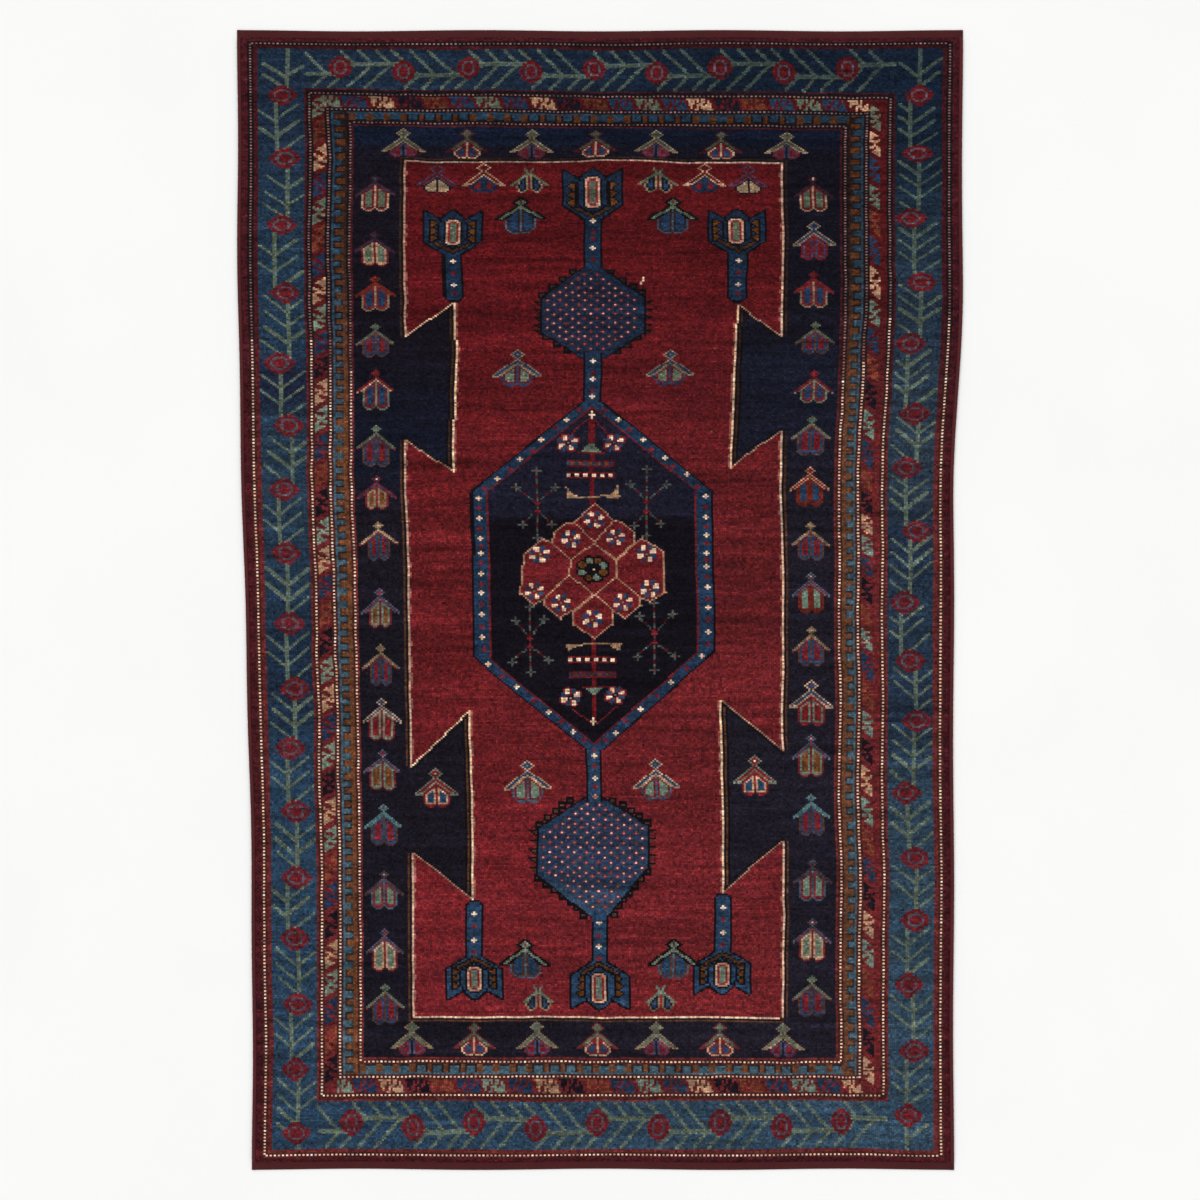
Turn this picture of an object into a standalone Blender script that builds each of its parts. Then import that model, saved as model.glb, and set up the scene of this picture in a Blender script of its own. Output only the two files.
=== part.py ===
"""A hand-knotted wool rug of the Kazak kind, lying flat, as one closed solid.

Metres, +Z up.  The origin is the middle of the underside, +Y runs along the
length towards the far end and +X across the width.  The rug is woven in one
piece: a pile block with a rounded shoulder, an overcast cord (the selvedge) down
each long side and a thin flat-woven web across each end.
"""
from math import cos, pi

import bmesh
import bpy

# Driving sizes of the rug
LENGTH = 2.300            # web to web
FAR_WIDTH = 1.465         # cord to cord at the far end, where the rug is widest
PILE_HEIGHT = 0.009       # floor to the top of the pile

# How the sides draw in from the far end, as shares of the length for start and run
LEFT_DRAW_IN, LEFT_START, LEFT_RUN = 0.030, 0.15, 0.70
RIGHT_DRAW_IN, RIGHT_START, RIGHT_RUN = 0.018, 0.22, 0.20

# The overcast cord on the long sides, with a slight dip between it and the pile
CORD_WIDTH = 0.008
CORD_CROWN = 0.0056
CORD_HEIGHT = 0.006
CORD_DIP = 0.0012
SHOULDER_WIDTH = 0.006    # from the cord to the full height of the pile

# The flat-woven web on the ends
WEB_DEPTH = 0.015
WEB_HEIGHT = 0.0032
WEB_SHOULDER = 0.007      # from the web to the full height of the pile

# Unevenness of a hand-woven outline, always inwards from the straight line
SIDE_WAVE = 0.0022
LEFT_WAVES, RIGHT_WAVES = 5, 4
END_WAVE = 0.0025
END_WAVES = 3
END_WAVE_REACH = 0.25     # how far along the rug an end's wave fades out

# Mesh
EDGE_ROUND = 0.0013
CELLS_ACROSS_FIELD = 16
CELLS_ALONG_FIELD = 46
SAME_PLACE_DIGITS = 7

WOOL_RED = (0.165, 0.018, 0.025, 1.0)


def smooth_step(t):
    """0 below 0, 1 above 1, and 3t^2 - 2t^3 between."""
    t = min(max(t, 0.0), 1.0)
    return t * t * (3.0 - 2.0 * t)


def wave(t, waves):
    """A wave that runs between 0 and 1 and starts and ends at 0."""
    return 0.5 * (1.0 - cos(2.0 * pi * waves * t))


def left_side(from_far):
    """X of the left side at a share of the length from the far end."""
    drawn = LEFT_DRAW_IN * smooth_step((from_far - LEFT_START) / LEFT_RUN)
    return -FAR_WIDTH / 2 + drawn + SIDE_WAVE * wave(from_far, LEFT_WAVES)


def right_side(from_far):
    """X of the right side, which draws in over a shorter stretch."""
    drawn = RIGHT_DRAW_IN * smooth_step((from_far - RIGHT_START) / RIGHT_RUN)
    return FAR_WIDTH / 2 - drawn - SIDE_WAVE * wave(from_far, RIGHT_WAVES)


def end_inset(x, from_end):
    """How far a point moves in from the straight end: a wave that fades along the rug."""
    fade = 1.0 - smooth_step(from_end / END_WAVE_REACH)
    return END_WAVE * wave(x / FAR_WIDTH + 0.5, END_WAVES) * fade


def offsets_from_edge(edge_offsets, span, middle_cells):
    """Places from 0 to span: the given offsets at both edges and even cells between."""
    inner = edge_offsets[-1]
    step = (span - 2 * inner) / middle_cells
    middle = [inner + step * i for i in range(1, middle_cells)]
    return edge_offsets + middle + [span - d for d in reversed(edge_offsets)]


def column_offsets():
    """Distances of the columns from the left side, at the far end's width."""
    edge = [0.0, CORD_CROWN, CORD_WIDTH]
    edge += [CORD_WIDTH + SHOULDER_WIDTH * share for share in (1 / 2, 1)]
    return offsets_from_edge(edge, FAR_WIDTH, CELLS_ACROSS_FIELD)


def station_offsets():
    """Distances of the stations from the far end."""
    edge = [0.0] + [WEB_DEPTH + WEB_SHOULDER * share for share in (0, 1 / 3, 2 / 3, 1)]
    return offsets_from_edge(edge, LENGTH, CELLS_ALONG_FIELD)


def place_across(offset, left, right):
    """X of a column: cords and shoulders keep their widths, the field takes up the rest."""
    edge = CORD_WIDTH + SHOULDER_WIDTH
    share = (offset - edge) / (FAR_WIDTH - 2 * edge)
    share = min(max(share, 0.0), 1.0)
    inner = min(max(offset, edge), FAR_WIDTH - edge)
    return left + edge + share * (right - left - 2 * edge) + (offset - inner)


def height_from_side(d):
    """Height at distance d from a long side: cord, a slight dip, then the pile's shoulder."""
    if d < CORD_WIDTH:
        return CORD_HEIGHT
    rise = smooth_step((d - CORD_WIDTH) / SHOULDER_WIDTH)
    foot = CORD_HEIGHT - CORD_DIP
    return foot + (PILE_HEIGHT - foot) * rise


def height_at(offset, station):
    """Height of the top: the web's at the ends, rising to the profile across the rug."""
    from_side = min(offset, FAR_WIDTH - offset)
    from_end = min(station, LENGTH - station)
    pile_share = smooth_step((from_end - WEB_DEPTH) / WEB_SHOULDER)
    return WEB_HEIGHT + (height_from_side(from_side) - WEB_HEIGHT) * pile_share


def wool_material():
    """Matt wool in the red of the field."""
    material = bpy.data.materials.new("wool")
    material.use_nodes = True
    shader = material.node_tree.nodes["Principled BSDF"]
    shader.inputs["Base Color"].default_value = WOOL_RED
    shader.inputs["Roughness"].default_value = 0.95
    shader.inputs["Metallic"].default_value = 0.0
    return material


def build_rug():
    """A grid laid out on the rug's plan, thickened by an extrusion, with rounded edges."""
    columns, stations = column_offsets(), station_offsets()
    last_column, last_station = len(columns) - 1, len(stations) - 1

    sheet = bmesh.new()
    bmesh.ops.create_grid(sheet, x_segments=last_column, y_segments=last_station, size=0.5)
    top_height = {}
    for vertex in sheet.verts:
        offset = columns[round((vertex.co.x + 0.5) * last_column)]
        station = stations[round((0.5 - vertex.co.y) * last_station)]
        from_far = station / LENGTH
        x = place_across(offset, left_side(from_far), right_side(from_far))
        inset = end_inset(x, station) - end_inset(x, LENGTH - station)
        vertex.co = (x, LENGTH / 2 - station - inset, 0.0)
        place = (round(vertex.co.x, SAME_PLACE_DIGITS), round(vertex.co.y, SAME_PLACE_DIGITS))
        top_height[place] = height_at(offset, station)

    # The pile: the sheet is extruded, and each upper vertex goes to its own height
    raised = bmesh.ops.extrude_face_region(sheet, geom=sheet.faces[:])["geom"]
    for vertex in (item for item in raised if isinstance(item, bmesh.types.BMVert)):
        place = (round(vertex.co.x, SAME_PLACE_DIGITS), round(vertex.co.y, SAME_PLACE_DIGITS))
        vertex.co.z = top_height[place]
    bmesh.ops.recalc_face_normals(sheet, faces=sheet.faces[:])

    mesh = bpy.data.meshes.new("rug")
    sheet.to_mesh(mesh)
    sheet.free()
    mesh.materials.append(wool_material())
    mesh.shade_smooth()
    rug = bpy.data.objects.new("rug", mesh)
    bpy.context.scene.collection.objects.link(rug)

    rounding = rug.modifiers.new("rounded edges", "BEVEL")
    rounding.width = EDGE_ROUND
    rounding.segments = 2
    rounding.limit_method = "ANGLE"
    rounding.angle_limit = pi / 3


for old in list(bpy.data.objects):
    bpy.data.objects.remove(old, do_unlink=True)
build_rug()
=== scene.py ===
"""A hand-knotted wool rug of the Kazak kind, lying flat on a pale floor.

Metres, +Z up, +Y towards the far end.  The pattern is drawn on a plan with one cell to
a knot.  Columns count from the axis of the figure, to the right positive, and rows
count from the cream line at the field's far end, towards the near end positive: column
c spans u from c - 1 to c, and row r spans v from r to r + 1.  The plan is then laid out
on the woven outline, and each knot becomes one small face with its own dye.
"""

import bpy
import numpy as np
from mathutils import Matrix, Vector


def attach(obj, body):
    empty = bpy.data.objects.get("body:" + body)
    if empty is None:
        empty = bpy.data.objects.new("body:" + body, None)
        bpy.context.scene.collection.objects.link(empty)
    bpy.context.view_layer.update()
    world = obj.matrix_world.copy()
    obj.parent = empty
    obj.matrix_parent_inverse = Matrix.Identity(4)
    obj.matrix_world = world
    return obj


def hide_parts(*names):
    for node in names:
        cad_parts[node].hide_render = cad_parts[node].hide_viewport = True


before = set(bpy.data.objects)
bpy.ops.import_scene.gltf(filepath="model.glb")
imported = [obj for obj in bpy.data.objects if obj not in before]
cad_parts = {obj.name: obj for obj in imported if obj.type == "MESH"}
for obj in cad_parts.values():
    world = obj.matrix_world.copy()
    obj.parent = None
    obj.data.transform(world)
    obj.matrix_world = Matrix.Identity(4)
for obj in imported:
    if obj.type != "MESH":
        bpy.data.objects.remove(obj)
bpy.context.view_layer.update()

# The rug's outline, the same as the CAD model's
LENGTH = 2.300
FAR_WIDTH = 1.465
PILE_HEIGHT = 0.009
LEFT_DRAW_IN, LEFT_START, LEFT_RUN = 0.030, 0.15, 0.70
RIGHT_DRAW_IN, RIGHT_START, RIGHT_RUN = 0.018, 0.22, 0.20
CORD_WIDTH = 0.008
CORD_HEIGHT = 0.006
CORD_DIP = 0.0012
SHOULDER_WIDTH = 0.006
WEB_DEPTH = 0.015
WEB_HEIGHT = 0.0032
WEB_SHOULDER = 0.007
SIDE_WAVE = 0.0022
LEFT_WAVES, RIGHT_WAVES = 5, 4
END_WAVE = 0.0025
END_WAVES = 3
END_WAVE_REACH = 0.25

# The plan of knots
FIRST_COLUMN, LAST_COLUMN = -166, 173
FIRST_ROW, LAST_ROW = -87, 609
FIELD_ROWS = 523                        # rows 0 to 522 lie inside the cream lines
NEAR_MIRROR = FIELD_ROWS - 1            # far row -k and near row 522 + k are the same line

random = np.random.default_rng(1907)

NOISE_SPREAD = 1.35                     # brings numbers blended from a net back to a spread of 1
ON_EDGE = 0.01                          # a knot this far past an edge still counts as on it
RAGGED_ROWS = 3                         # rows in each short run of a ragged edge


def smooth(t):
    """0 below 0, 1 above 1, and 3t^2 - 2t^3 between."""
    t = np.clip(t, 0.0, 1.0)
    return t * t * (3.0 - 2.0 * t)


def soft_noise(shape, cell_rows, cell_columns, seed):
    """Random numbers of spread 1 on a coarse net, blended smoothly between its points."""
    net_rows = int(shape[0] / cell_rows) + 3
    net_columns = int(shape[1] / cell_columns) + 3
    net = np.random.default_rng(seed).normal(size=(net_rows, net_columns))
    at_row = np.arange(shape[0]) / cell_rows
    at_column = np.arange(shape[1]) / cell_columns
    i, j = at_row.astype(int), at_column.astype(int)
    s, t = smooth(at_row - i)[:, None], smooth(at_column - j)[None, :]
    upper = net[i][:, j] * (1 - t) + net[i][:, j + 1] * t
    lower = net[i + 1][:, j] * (1 - t) + net[i + 1][:, j + 1] * t
    return (upper * (1 - s) + lower * s) * NOISE_SPREAD


# ---------------------------------------------------------------- dyes

# Dyes that change along the rug, in 0..255.  Stations: row, red, green and blue on the left, and the
# same on the right where they differ
CHANGING_DYES = {
    "field": [(0, 79, 20, 23, 78, 20, 23), (60, 81, 20, 24, 77, 20, 23), (130, 88, 23, 27, 87, 25, 29),
        (250, 93, 28, 31, 93, 30, 33), (400, 101, 30, 34, 99, 32, 36), (520, 107, 33, 38, 104, 34, 37)],
    "navy": [(-26, 19, 25, 42, 18, 23, 38), (-13, 19, 25, 40, 18, 22, 35), (-8, 23, 20, 29, 19, 18, 27),
        (115, 22, 18, 26, 21, 20, 29), (130, 22, 19, 28, 24, 26, 39), (180, 20, 22, 35, 24, 25, 37),
        (200, 21, 23, 35, 27, 25, 35), (230, 25, 22, 30, 29, 26, 35), (600, 26, 23, 32, 30, 27, 37)],
    "ink": [(160, 28, 26, 38), (220, 27, 26, 39), (228, 27, 26, 39), (232, 19, 16, 23), (600, 22, 18, 25)],
    "vine blue": [(-80, 28, 41, 57, 20, 30, 45), (-20, 30, 43, 60, 20, 30, 44),
        (50, 35, 53, 71, 31, 44, 57), (125, 35, 52, 70, 37, 50, 65), (140, 29, 36, 55, 39, 52, 66),
        (155, 29, 36, 55, 40, 53, 67), (170, 38, 55, 72, 41, 54, 67), (220, 37, 54, 71, 41, 53, 67),
        (240, 36, 52, 69, 32, 43, 60), (270, 35, 51, 69, 36, 50, 66), (318, 29, 42, 60, 37, 50, 67),
        (350, 33, 48, 67, 34, 46, 63), (385, 39, 60, 80, 45, 63, 79), (600, 41, 61, 81, 47, 66, 82)],
    "black": [(0, 20, 16, 20, 19, 15, 19)],
    "brown line": [(-3, 48, 32, 26, 40, 27, 24), (190, 52, 35, 29, 46, 31, 26),
        (215, 72, 46, 34, 72, 47, 36)],
    "edge cream": [(0, 150, 114, 98, 164, 128, 110), (230, 170, 134, 115, 202, 166, 142),
        (450, 190, 152, 132, 206, 170, 146)],
    "wall": [(-20, 25, 20, 24), (95, 27, 20, 24), (130, 48, 26, 28, 46, 26, 28),
        (200, 66, 31, 29, 66, 32, 29)],
    "cream": [(0, 176, 138, 116), (60, 206, 168, 138), (600, 212, 176, 146)],
    "blush": [(0, 118, 64, 58), (200, 138, 78, 70)],
    "thin red": [(0, 64, 24, 28, 56, 21, 26), (95, 66, 25, 29, 58, 22, 27), (150, 80, 32, 36, 68, 28, 31),
        (210, 92, 37, 37, 92, 38, 39)],
    "edge": [(0, 66, 25, 30, 64, 24, 30)],
    "dot gap": [(95, 23, 19, 22), (150, 44, 25, 24), (210, 58, 29, 24)],
    "guard red": [(-10, 72, 22, 24, 71, 21, 23), (95, 76, 24, 26, 73, 23, 25),
        (150, 84, 30, 33, 81, 30, 32), (210, 93, 34, 36, 97, 35, 37)],
    "guard cream": [(0, 154, 118, 92, 164, 126, 100)],
    "guard blue": [(0, 32, 46, 70, 34, 50, 72)],
    "guard navy": [(0, 25, 21, 32), (200, 25, 20, 27, 26, 22, 30)],
    "guard green": [(0, 84, 90, 76), (160, 104, 116, 102, 100, 114, 102)],
    "guard brown": [(-20, 80, 42, 30, 84, 44, 30), (120, 108, 54, 40)],
    "block brown": [(-20, 74, 42, 24, 76, 42, 22), (110, 86, 51, 33, 84, 50, 32),
        (150, 98, 60, 39, 96, 60, 41)],
    "block strip": [(-20, 36, 24, 23, 34, 23, 22), (70, 52, 34, 27, 40, 28, 25),
        (106, 76, 48, 36, 56, 36, 29), (140, 88, 55, 39, 72, 46, 35), (165, 97, 59, 39, 92, 58, 41)],
    "block blue": [(-20, 35, 55, 72, 33, 50, 64), (60, 41, 61, 77, 38, 55, 66),
        (110, 47, 66, 82, 48, 65, 77), (190, 60, 79, 90), (400, 62, 84, 96, 62, 83, 94)],
    "block dark": [(110, 24, 20, 25), (150, 40, 33, 35, 42, 36, 38)],
    "blue tip": [(110, 32, 38, 46), (150, 52, 58, 63, 54, 60, 66)],
    "brown tip": [(110, 44, 30, 28), (150, 64, 46, 38, 64, 48, 40)],
    "madder": [(0, 90, 27, 31), (300, 102, 32, 37)],
    "crimson": [(0, 90, 24, 29), (300, 104, 29, 34)],
    "straw": [(0, 146, 116, 94), (300, 160, 128, 104)],
    "sage": [(0, 74, 84, 68), (200, 96, 106, 92)],
    "dull sage": [(-20, 62, 66, 54), (200, 84, 92, 78)],
    "blue": [(0, 30, 48, 72), (300, 37, 57, 82)],
    "haze": [(0, 52, 50, 68), (300, 62, 64, 88)],
    "slate": [(0, 52, 66, 82), (200, 62, 76, 92)],
    "rose red": [(-20, 86, 25, 29, 78, 22, 26), (200, 95, 30, 36, 90, 29, 34)],
    "rose ring": [(0, 74, 68, 76, 72, 66, 76)],
    "stem green": [(-20, 76, 86, 77, 60, 71, 66), (60, 84, 96, 81, 69, 81, 74),
        (150, 84, 95, 84, 83, 94, 84)],
    "tulip blue": [(0, 25, 38, 56), (400, 38, 58, 81)],
    "hexagon blue": [(70, 26, 36, 53), (394, 34, 47, 68), (445, 38, 56, 78), (465, 52, 72, 94)],
    "band blue": [(160, 29, 47, 68), (366, 34, 51, 74)],
    "chevron brown": [(0, 54, 35, 22), (300, 70, 45, 30)],
    "dot light": [(0, 158, 113, 101), (400, 204, 158, 142)],
    "dot dim": [(0, 120, 64, 62), (400, 160, 96, 90)],
    "dot side": [(0, 74, 28, 34), (400, 92, 42, 52)],
}
# Dyes of one colour all over
PLAIN_DYES = {
    "dim cream": (150, 112, 92), "far cream": (150, 120, 105), "dim dot": (122, 89, 84),
    "bright dot": (220, 180, 158), "rust": (94, 34, 27), "ochre": (100, 60, 33), "spine": (84, 50, 24),
    "brown": (74, 50, 44), "buff": (116, 98, 79), "fawn": (131, 109, 87), "tan": (144, 112, 86),
    "sprig": (64, 74, 69), "mint": (98, 114, 98), "teal": (74, 102, 106), "petal blue": (24, 37, 56),
    "purple": (38, 38, 58), "salmon": (178, 118, 96), "band red": (92, 28, 31), "pole red": (88, 22, 26),
    "sprig red": (76, 23, 28), "lozenge cream": (168, 132, 112), "lozenge red": (118, 31, 36),
    "cell red": (96, 29, 33), "cell line": (152, 112, 90), "light": (210, 178, 152),
}
DYES = {**CHANGING_DYES, **{name: [(0, *colour)] for name, colour in PLAIN_DYES.items()}}
DYE_NUMBER = {name: number for number, name in enumerate(DYES)}

# Abrash, the lighter and darker stretches of the field: row, left share, right share
FIELD_ABRASH = [
    (0, 0.96, 0.98), (26, 1.03, 1.06), (48, 0.97, 0.98), (74, 1.06, 1.02), (90, 1.06, 1.08),
    (104, 0.86, 0.97), (118, 1.08, 1.04), (130, 0.95, 1.14), (142, 0.89, 0.90), (156, 0.90, 1.05),
    (170, 1.06, 0.94), (186, 1.09, 1.02), (200, 0.90, 1.02), (213, 1.06, 0.95), (225, 0.93, 1.02),
    (242, 1.07, 1.00), (266, 0.88, 0.90), (280, 1.02, 0.88), (302, 0.93, 0.96), (322, 1.03, 1.06),
    (334, 0.96, 1.07), (356, 1.01, 0.97), (386, 0.91, 0.95), (404, 1.02, 0.94), (424, 1.03, 1.10),
    (440, 1.05, 1.00), (458, 1.10, 1.04), (474, 1.01, 0.96), (500, 1.04, 1.00), (522, 0.98, 1.03),
]

# ---------------------------------------------------------------- drawing on the plan

U, V = np.meshgrid(np.arange(FIRST_COLUMN, LAST_COLUMN + 1) - 0.5,
                   np.arange(FIRST_ROW, LAST_ROW + 1) + 0.5)
plan = np.full(U.shape, DYE_NUMBER["field"])


def weave(where, dye, window=np.s_[:]):
    """Gives the chosen knots of the plan, or of a window of it, a dye."""
    plan[window][where] = DYE_NUMBER[dye]


def block(first_column, last_column, first_row, last_row, dye):
    """A rectangle of whole knots."""
    rows = slice(first_row - FIRST_ROW, last_row - FIRST_ROW + 1)
    columns = slice(first_column - FIRST_COLUMN, last_column - FIRST_COLUMN + 1)
    weave((rows, columns), dye)


def inside(points):
    """Knots in a closed outline: a level line to their middle crosses it an odd number of times."""
    result = np.zeros(U.shape, bool)
    for (u0, v0), (u1, v1) in zip(points, points[1:] + points[:1]):
        if v0 != v1:
            crosses = (V >= min(v0, v1)) & (V < max(v0, v1))
            result ^= crosses & (U > u0 + (V - v0) * (u1 - u0) / (v1 - v0))
    return result


def patch(points, dye):
    """Fills a closed outline."""
    weave(inside(points), dye)


def near(u, v, reach):
    """The window of the plan within reach of a place, and distances across and along in it."""
    j, i = int(u) - FIRST_COLUMN, int(v) - FIRST_ROW
    size = int(reach) + 3
    window = (slice(max(i - size, 0), i + size), slice(max(j - size, 0), j + size))
    return window, U[window] - u, V[window] - v


def line(points, dye, width):
    """A path of knots: every knot whose middle is within half the width of a stretch of it."""
    for (u0, v0), (u1, v1) in zip(points, points[1:]):
        run = np.hypot(u1 - u0, v1 - v0)
        window, du, dv = near((u0 + u1) / 2, (v0 + v1) / 2, run / 2 + width)
        du, dv = du + (u1 - u0) / 2, dv + (v1 - v0) / 2
        along = np.clip((du * (u1 - u0) + dv * (v1 - v0)) / run ** 2, 0, 1)
        off = np.hypot(du - along * (u1 - u0), dv - along * (v1 - v0))
        weave(off <= width / 2 + ON_EDGE, dye, window)


def thread(points, dye):
    """A path one knot wide: as many even steps as it has knots in its longer direction."""
    for (u0, v0), (u1, v1) in zip(points, points[1:]):
        steps = int(np.ceil(max(abs(u1 - u0), abs(v1 - v0)))) + 1
        u, v = np.linspace(u0, u1, steps), np.linspace(v0, v1, steps)
        j, i = np.floor(u).astype(int) + 1 - FIRST_COLUMN, np.floor(v).astype(int) - FIRST_ROW
        weave((i, j), dye)


def ragged(points, dye, share, side):
    """Knots beside an upright path, on short runs of its rows."""
    for (u0, v0), (u1, v1) in zip(points, points[1:]):
        rows = np.arange(min(v0, v1), max(v0, v1))
        across = u0 + (u1 - u0) * (rows - v0) / (v1 - v0)
        runs = np.repeat(random.random(len(rows) // RAGGED_ROWS + 1) < share, RAGGED_ROWS)[:len(rows)]
        i = np.floor(rows).astype(int) - FIRST_ROW
        j = np.floor(across).astype(int) + 1 + side - FIRST_COLUMN
        weave((i[runs], j[runs]), dye)


def ring(points, dye, width):
    """A closed path of knots."""
    line(points + points[:1], dye, width)


def diamond(u, v, dye, reach):
    """A diamond about one knot: steps across plus steps along stay within the reach."""
    window, du, dv = near(u, v, reach * 2)
    du, dv = du + u - np.floor(u) - 0.5, dv + v - np.floor(v) - 0.5
    weave(np.abs(du) + np.abs(dv) <= reach + ON_EDGE, dye, window)


def oval(u, v, half_width, half_length, dye):
    """An oval: the distances, as shares of its half sizes, square to no more than 1."""
    window, du, dv = near(u, v, max(half_width, half_length))
    weave(np.hypot(du / half_width, dv / half_length) <= 1, dye, window)


def outline(points, dye):
    """A closed path one knot wide."""
    thread(points + points[:1], dye)


def cross(u, v, dye, reach):
    """An upright cross one knot thick about one knot."""
    u, v = np.floor(u) + 0.5, np.floor(v) + 0.5
    thread([(u - reach, v), (u + reach, v)], dye)
    thread([(u, v - reach), (u, v + reach)], dye)


def whole(rows):
    """A whole chart as an array of its letters."""
    widest = max(len(row) for row in rows)
    return np.array([list(row.ljust(widest, ".")) for row in rows])


def mirrored(half):
    """A half chart, read from its middle column outwards, and its mirror image beside it."""
    right = whole(half)
    return np.hstack([right[:, :0:-1], right])


def stamp(chart, middle, top, dyes, height=None, width=None):
    """Weaves a chart about a middle column and down from a top row, stretched where sizes are given."""
    height, width = height or chart.shape[0], width or chart.shape[1]
    pick_rows = ((np.arange(height) + 0.5) * chart.shape[0] / height).astype(int)
    pick_columns = ((np.arange(width) + 0.5) * chart.shape[1] / width).astype(int)
    chart = chart[pick_rows][:, pick_columns]
    first = int(np.ceil(middle)) - width // 2 - FIRST_COLUMN
    start = int(round(top)) - FIRST_ROW
    for letter, dye in dyes.items():
        i, j = np.nonzero(chart == letter)
        i, j = i + start, j + first
        weave((i, j), dye)


# ---------------------------------------------------------------- borders

# Plain bands from the field outwards: knots wide on the left, on the right and at an end, dye
BANDS = [
    (1, 1, 1, "edge cream"), (1, 1, 1, "black"), (1, 1, 1, "brown line"), (22, 25, 21, "navy"),
    (1, 1, 1, "thin red"), (0, 1, 1, "wall"), (1, 1, 1, "dots C"), (1, 1, 1, "wall"),
    (7, 7, 6, "block dark"), (1, 1, 1, "wall"), (1, 1, 1, "dots B"), (1, 1, 1, "wall"),
    (6, 8, 8, "guard red"), (1, 1, 1, "wall"), (1, 1, 1, "dots A"), (1, 1, 2, "wall"),
    (1, 1, 1, "thin red"), (22, 22, 29, "vine blue"), (2, 2, 2, "thin red"), (1, 1, 1, "wall"),
    (1, 1, 1, "dots A"), (1, 1, 1, "wall"), (3, 3, 3, "edge"),
]
FIELD_LEFT, FIELD_RIGHT = -88, 89       # the field's outermost columns

# Past the notches the lines beside the right border step outwards: column, dye
STEPPED_FROM = 150
STEPPED_LINES = [(90, "field"), (91, "field"), (92, "edge cream"), (93, "black"), (94, "brown line")]

# The row below which the light dots of a line turn bright: line, left, right
DOT_TURNS = {"dots A": (120, 106), "dots B": (138, 134), "dots C": (140, 146)}


def dotted(first_column, last_column, first_row, last_row, turn):
    """A line of light and black knots by turns, dim before the turning row and bright after it."""
    span = (U > first_column - 1) & (U < last_column) & (V > first_row) & (V < last_row + 1)
    along = V if last_row - first_row > last_column - first_column else U
    light = span & (np.floor(along).astype(int) % 2 == 0)
    weave(span, "dot gap")
    weave(light & (V < turn), "dim dot")
    weave(light & (V >= turn), "bright dot")


def band(left, right, far, dye):
    """One band on its four sides.  The end bands are woven first, so the side bands run through."""
    near_rows = (NEAR_MIRROR - far[1], NEAR_MIRROR - far[0])
    across, along = (left[0], right[1]), (far[0], near_rows[1])
    parts = ((across, far, 0), (across, near_rows, 0), (left, along, 0), (right, along, 1))
    for columns, rows, side in parts:
        if dye in DOT_TURNS:
            dotted(*columns, *rows, DOT_TURNS[dye][side])
        else:
            block(*columns, *rows, dye)


# Where the knots beside the edge line are a ragged pink: middle of the line across, rows
LEFT_BLUSH = [(-89.5, 0, 117), (-89.5, 182, 375), (-89.5, 427, NEAR_MIRROR)]
RIGHT_BLUSH = [(89.5, 0, 117), (91.5, 177, 366), (91.5, 420, NEAR_MIRROR)]
EDGE_BLUSH = 0.35                       # share of the rows


def weave_bands():
    """All plain bands, from the outermost inwards so that inner ends stay inside outer sides."""
    left, right, far = FIELD_LEFT, FIELD_RIGHT, 0
    bands = []
    for left_width, right_width, end_width, dye in BANDS:
        outer = (left - left_width, right + right_width, far - end_width)
        bands.append(((outer[0], left - 1), (right + 1, outer[1]), (outer[2], far - 1), dye))
        left, right, far = outer
    for sizes in reversed(bands):
        band(*sizes)
    block(FIELD_LEFT, FIELD_RIGHT, 0, NEAR_MIRROR, "field")
    block(FIELD_LEFT, FIELD_RIGHT, -1, -1, "far cream")
    for column, dye in STEPPED_LINES:
        block(column, column, STEPPED_FROM, NEAR_MIRROR, dye)
    for places, side in ((LEFT_BLUSH, 1), (RIGHT_BLUSH, -1)):
        for across, start, end in places:
            ragged([(across, start), (across, end)], "blush", EDGE_BLUSH, side)


# The two combs of the block border that bite into each other
COMB_PERIOD = 8.6
COMB_SHARES = (3.3, 0.8, 3.4, 0.8)      # blue, dark, brown, dark
END_COMB_PERIOD = 8.15
END_BROWN_HALF, END_BLUE_HALF = 1.3, 1.9   # half widths of a brown tooth and of its dark surround

# Rows of some blue teeth, and which tooth each is, counted down the side
LEFT_TEETH = [(-26, 0), (87, 13), (467, 60)]
RIGHT_TEETH = [(-22, 0), (29.5, 6), (91, 12), (145.5, 18), (256.8, 32), (287, 36), (353.5, 44),
               (384.5, 48), (464.5, 57)]
TEETH_BEYOND = 20                       # teeth past the first and the last named one


def tooth_phase(teeth):
    """Which tooth each row is at, going on at the plain period past the first and the last."""
    (first_row, first), (last_row, last) = teeth[0], teeth[-1]
    before = (first_row - TEETH_BEYOND * COMB_PERIOD, first - TEETH_BEYOND)
    after = (last_row + TEETH_BEYOND * COMB_PERIOD, last + TEETH_BEYOND)
    rows, numbers = zip(before, *teeth, after)
    return np.interp(V, rows, numbers) + COMB_SHARES[0] / sum(COMB_SHARES) / 2


def comb_part(phase):
    """0 in the blue teeth, 2 in the brown ones and 1 or 3 between, for a phase from 0 to 1."""
    ends = np.cumsum(COMB_SHARES) / sum(COMB_SHARES)
    return np.searchsorted(ends, np.mod(phase, 1.0), side="right")


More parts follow.
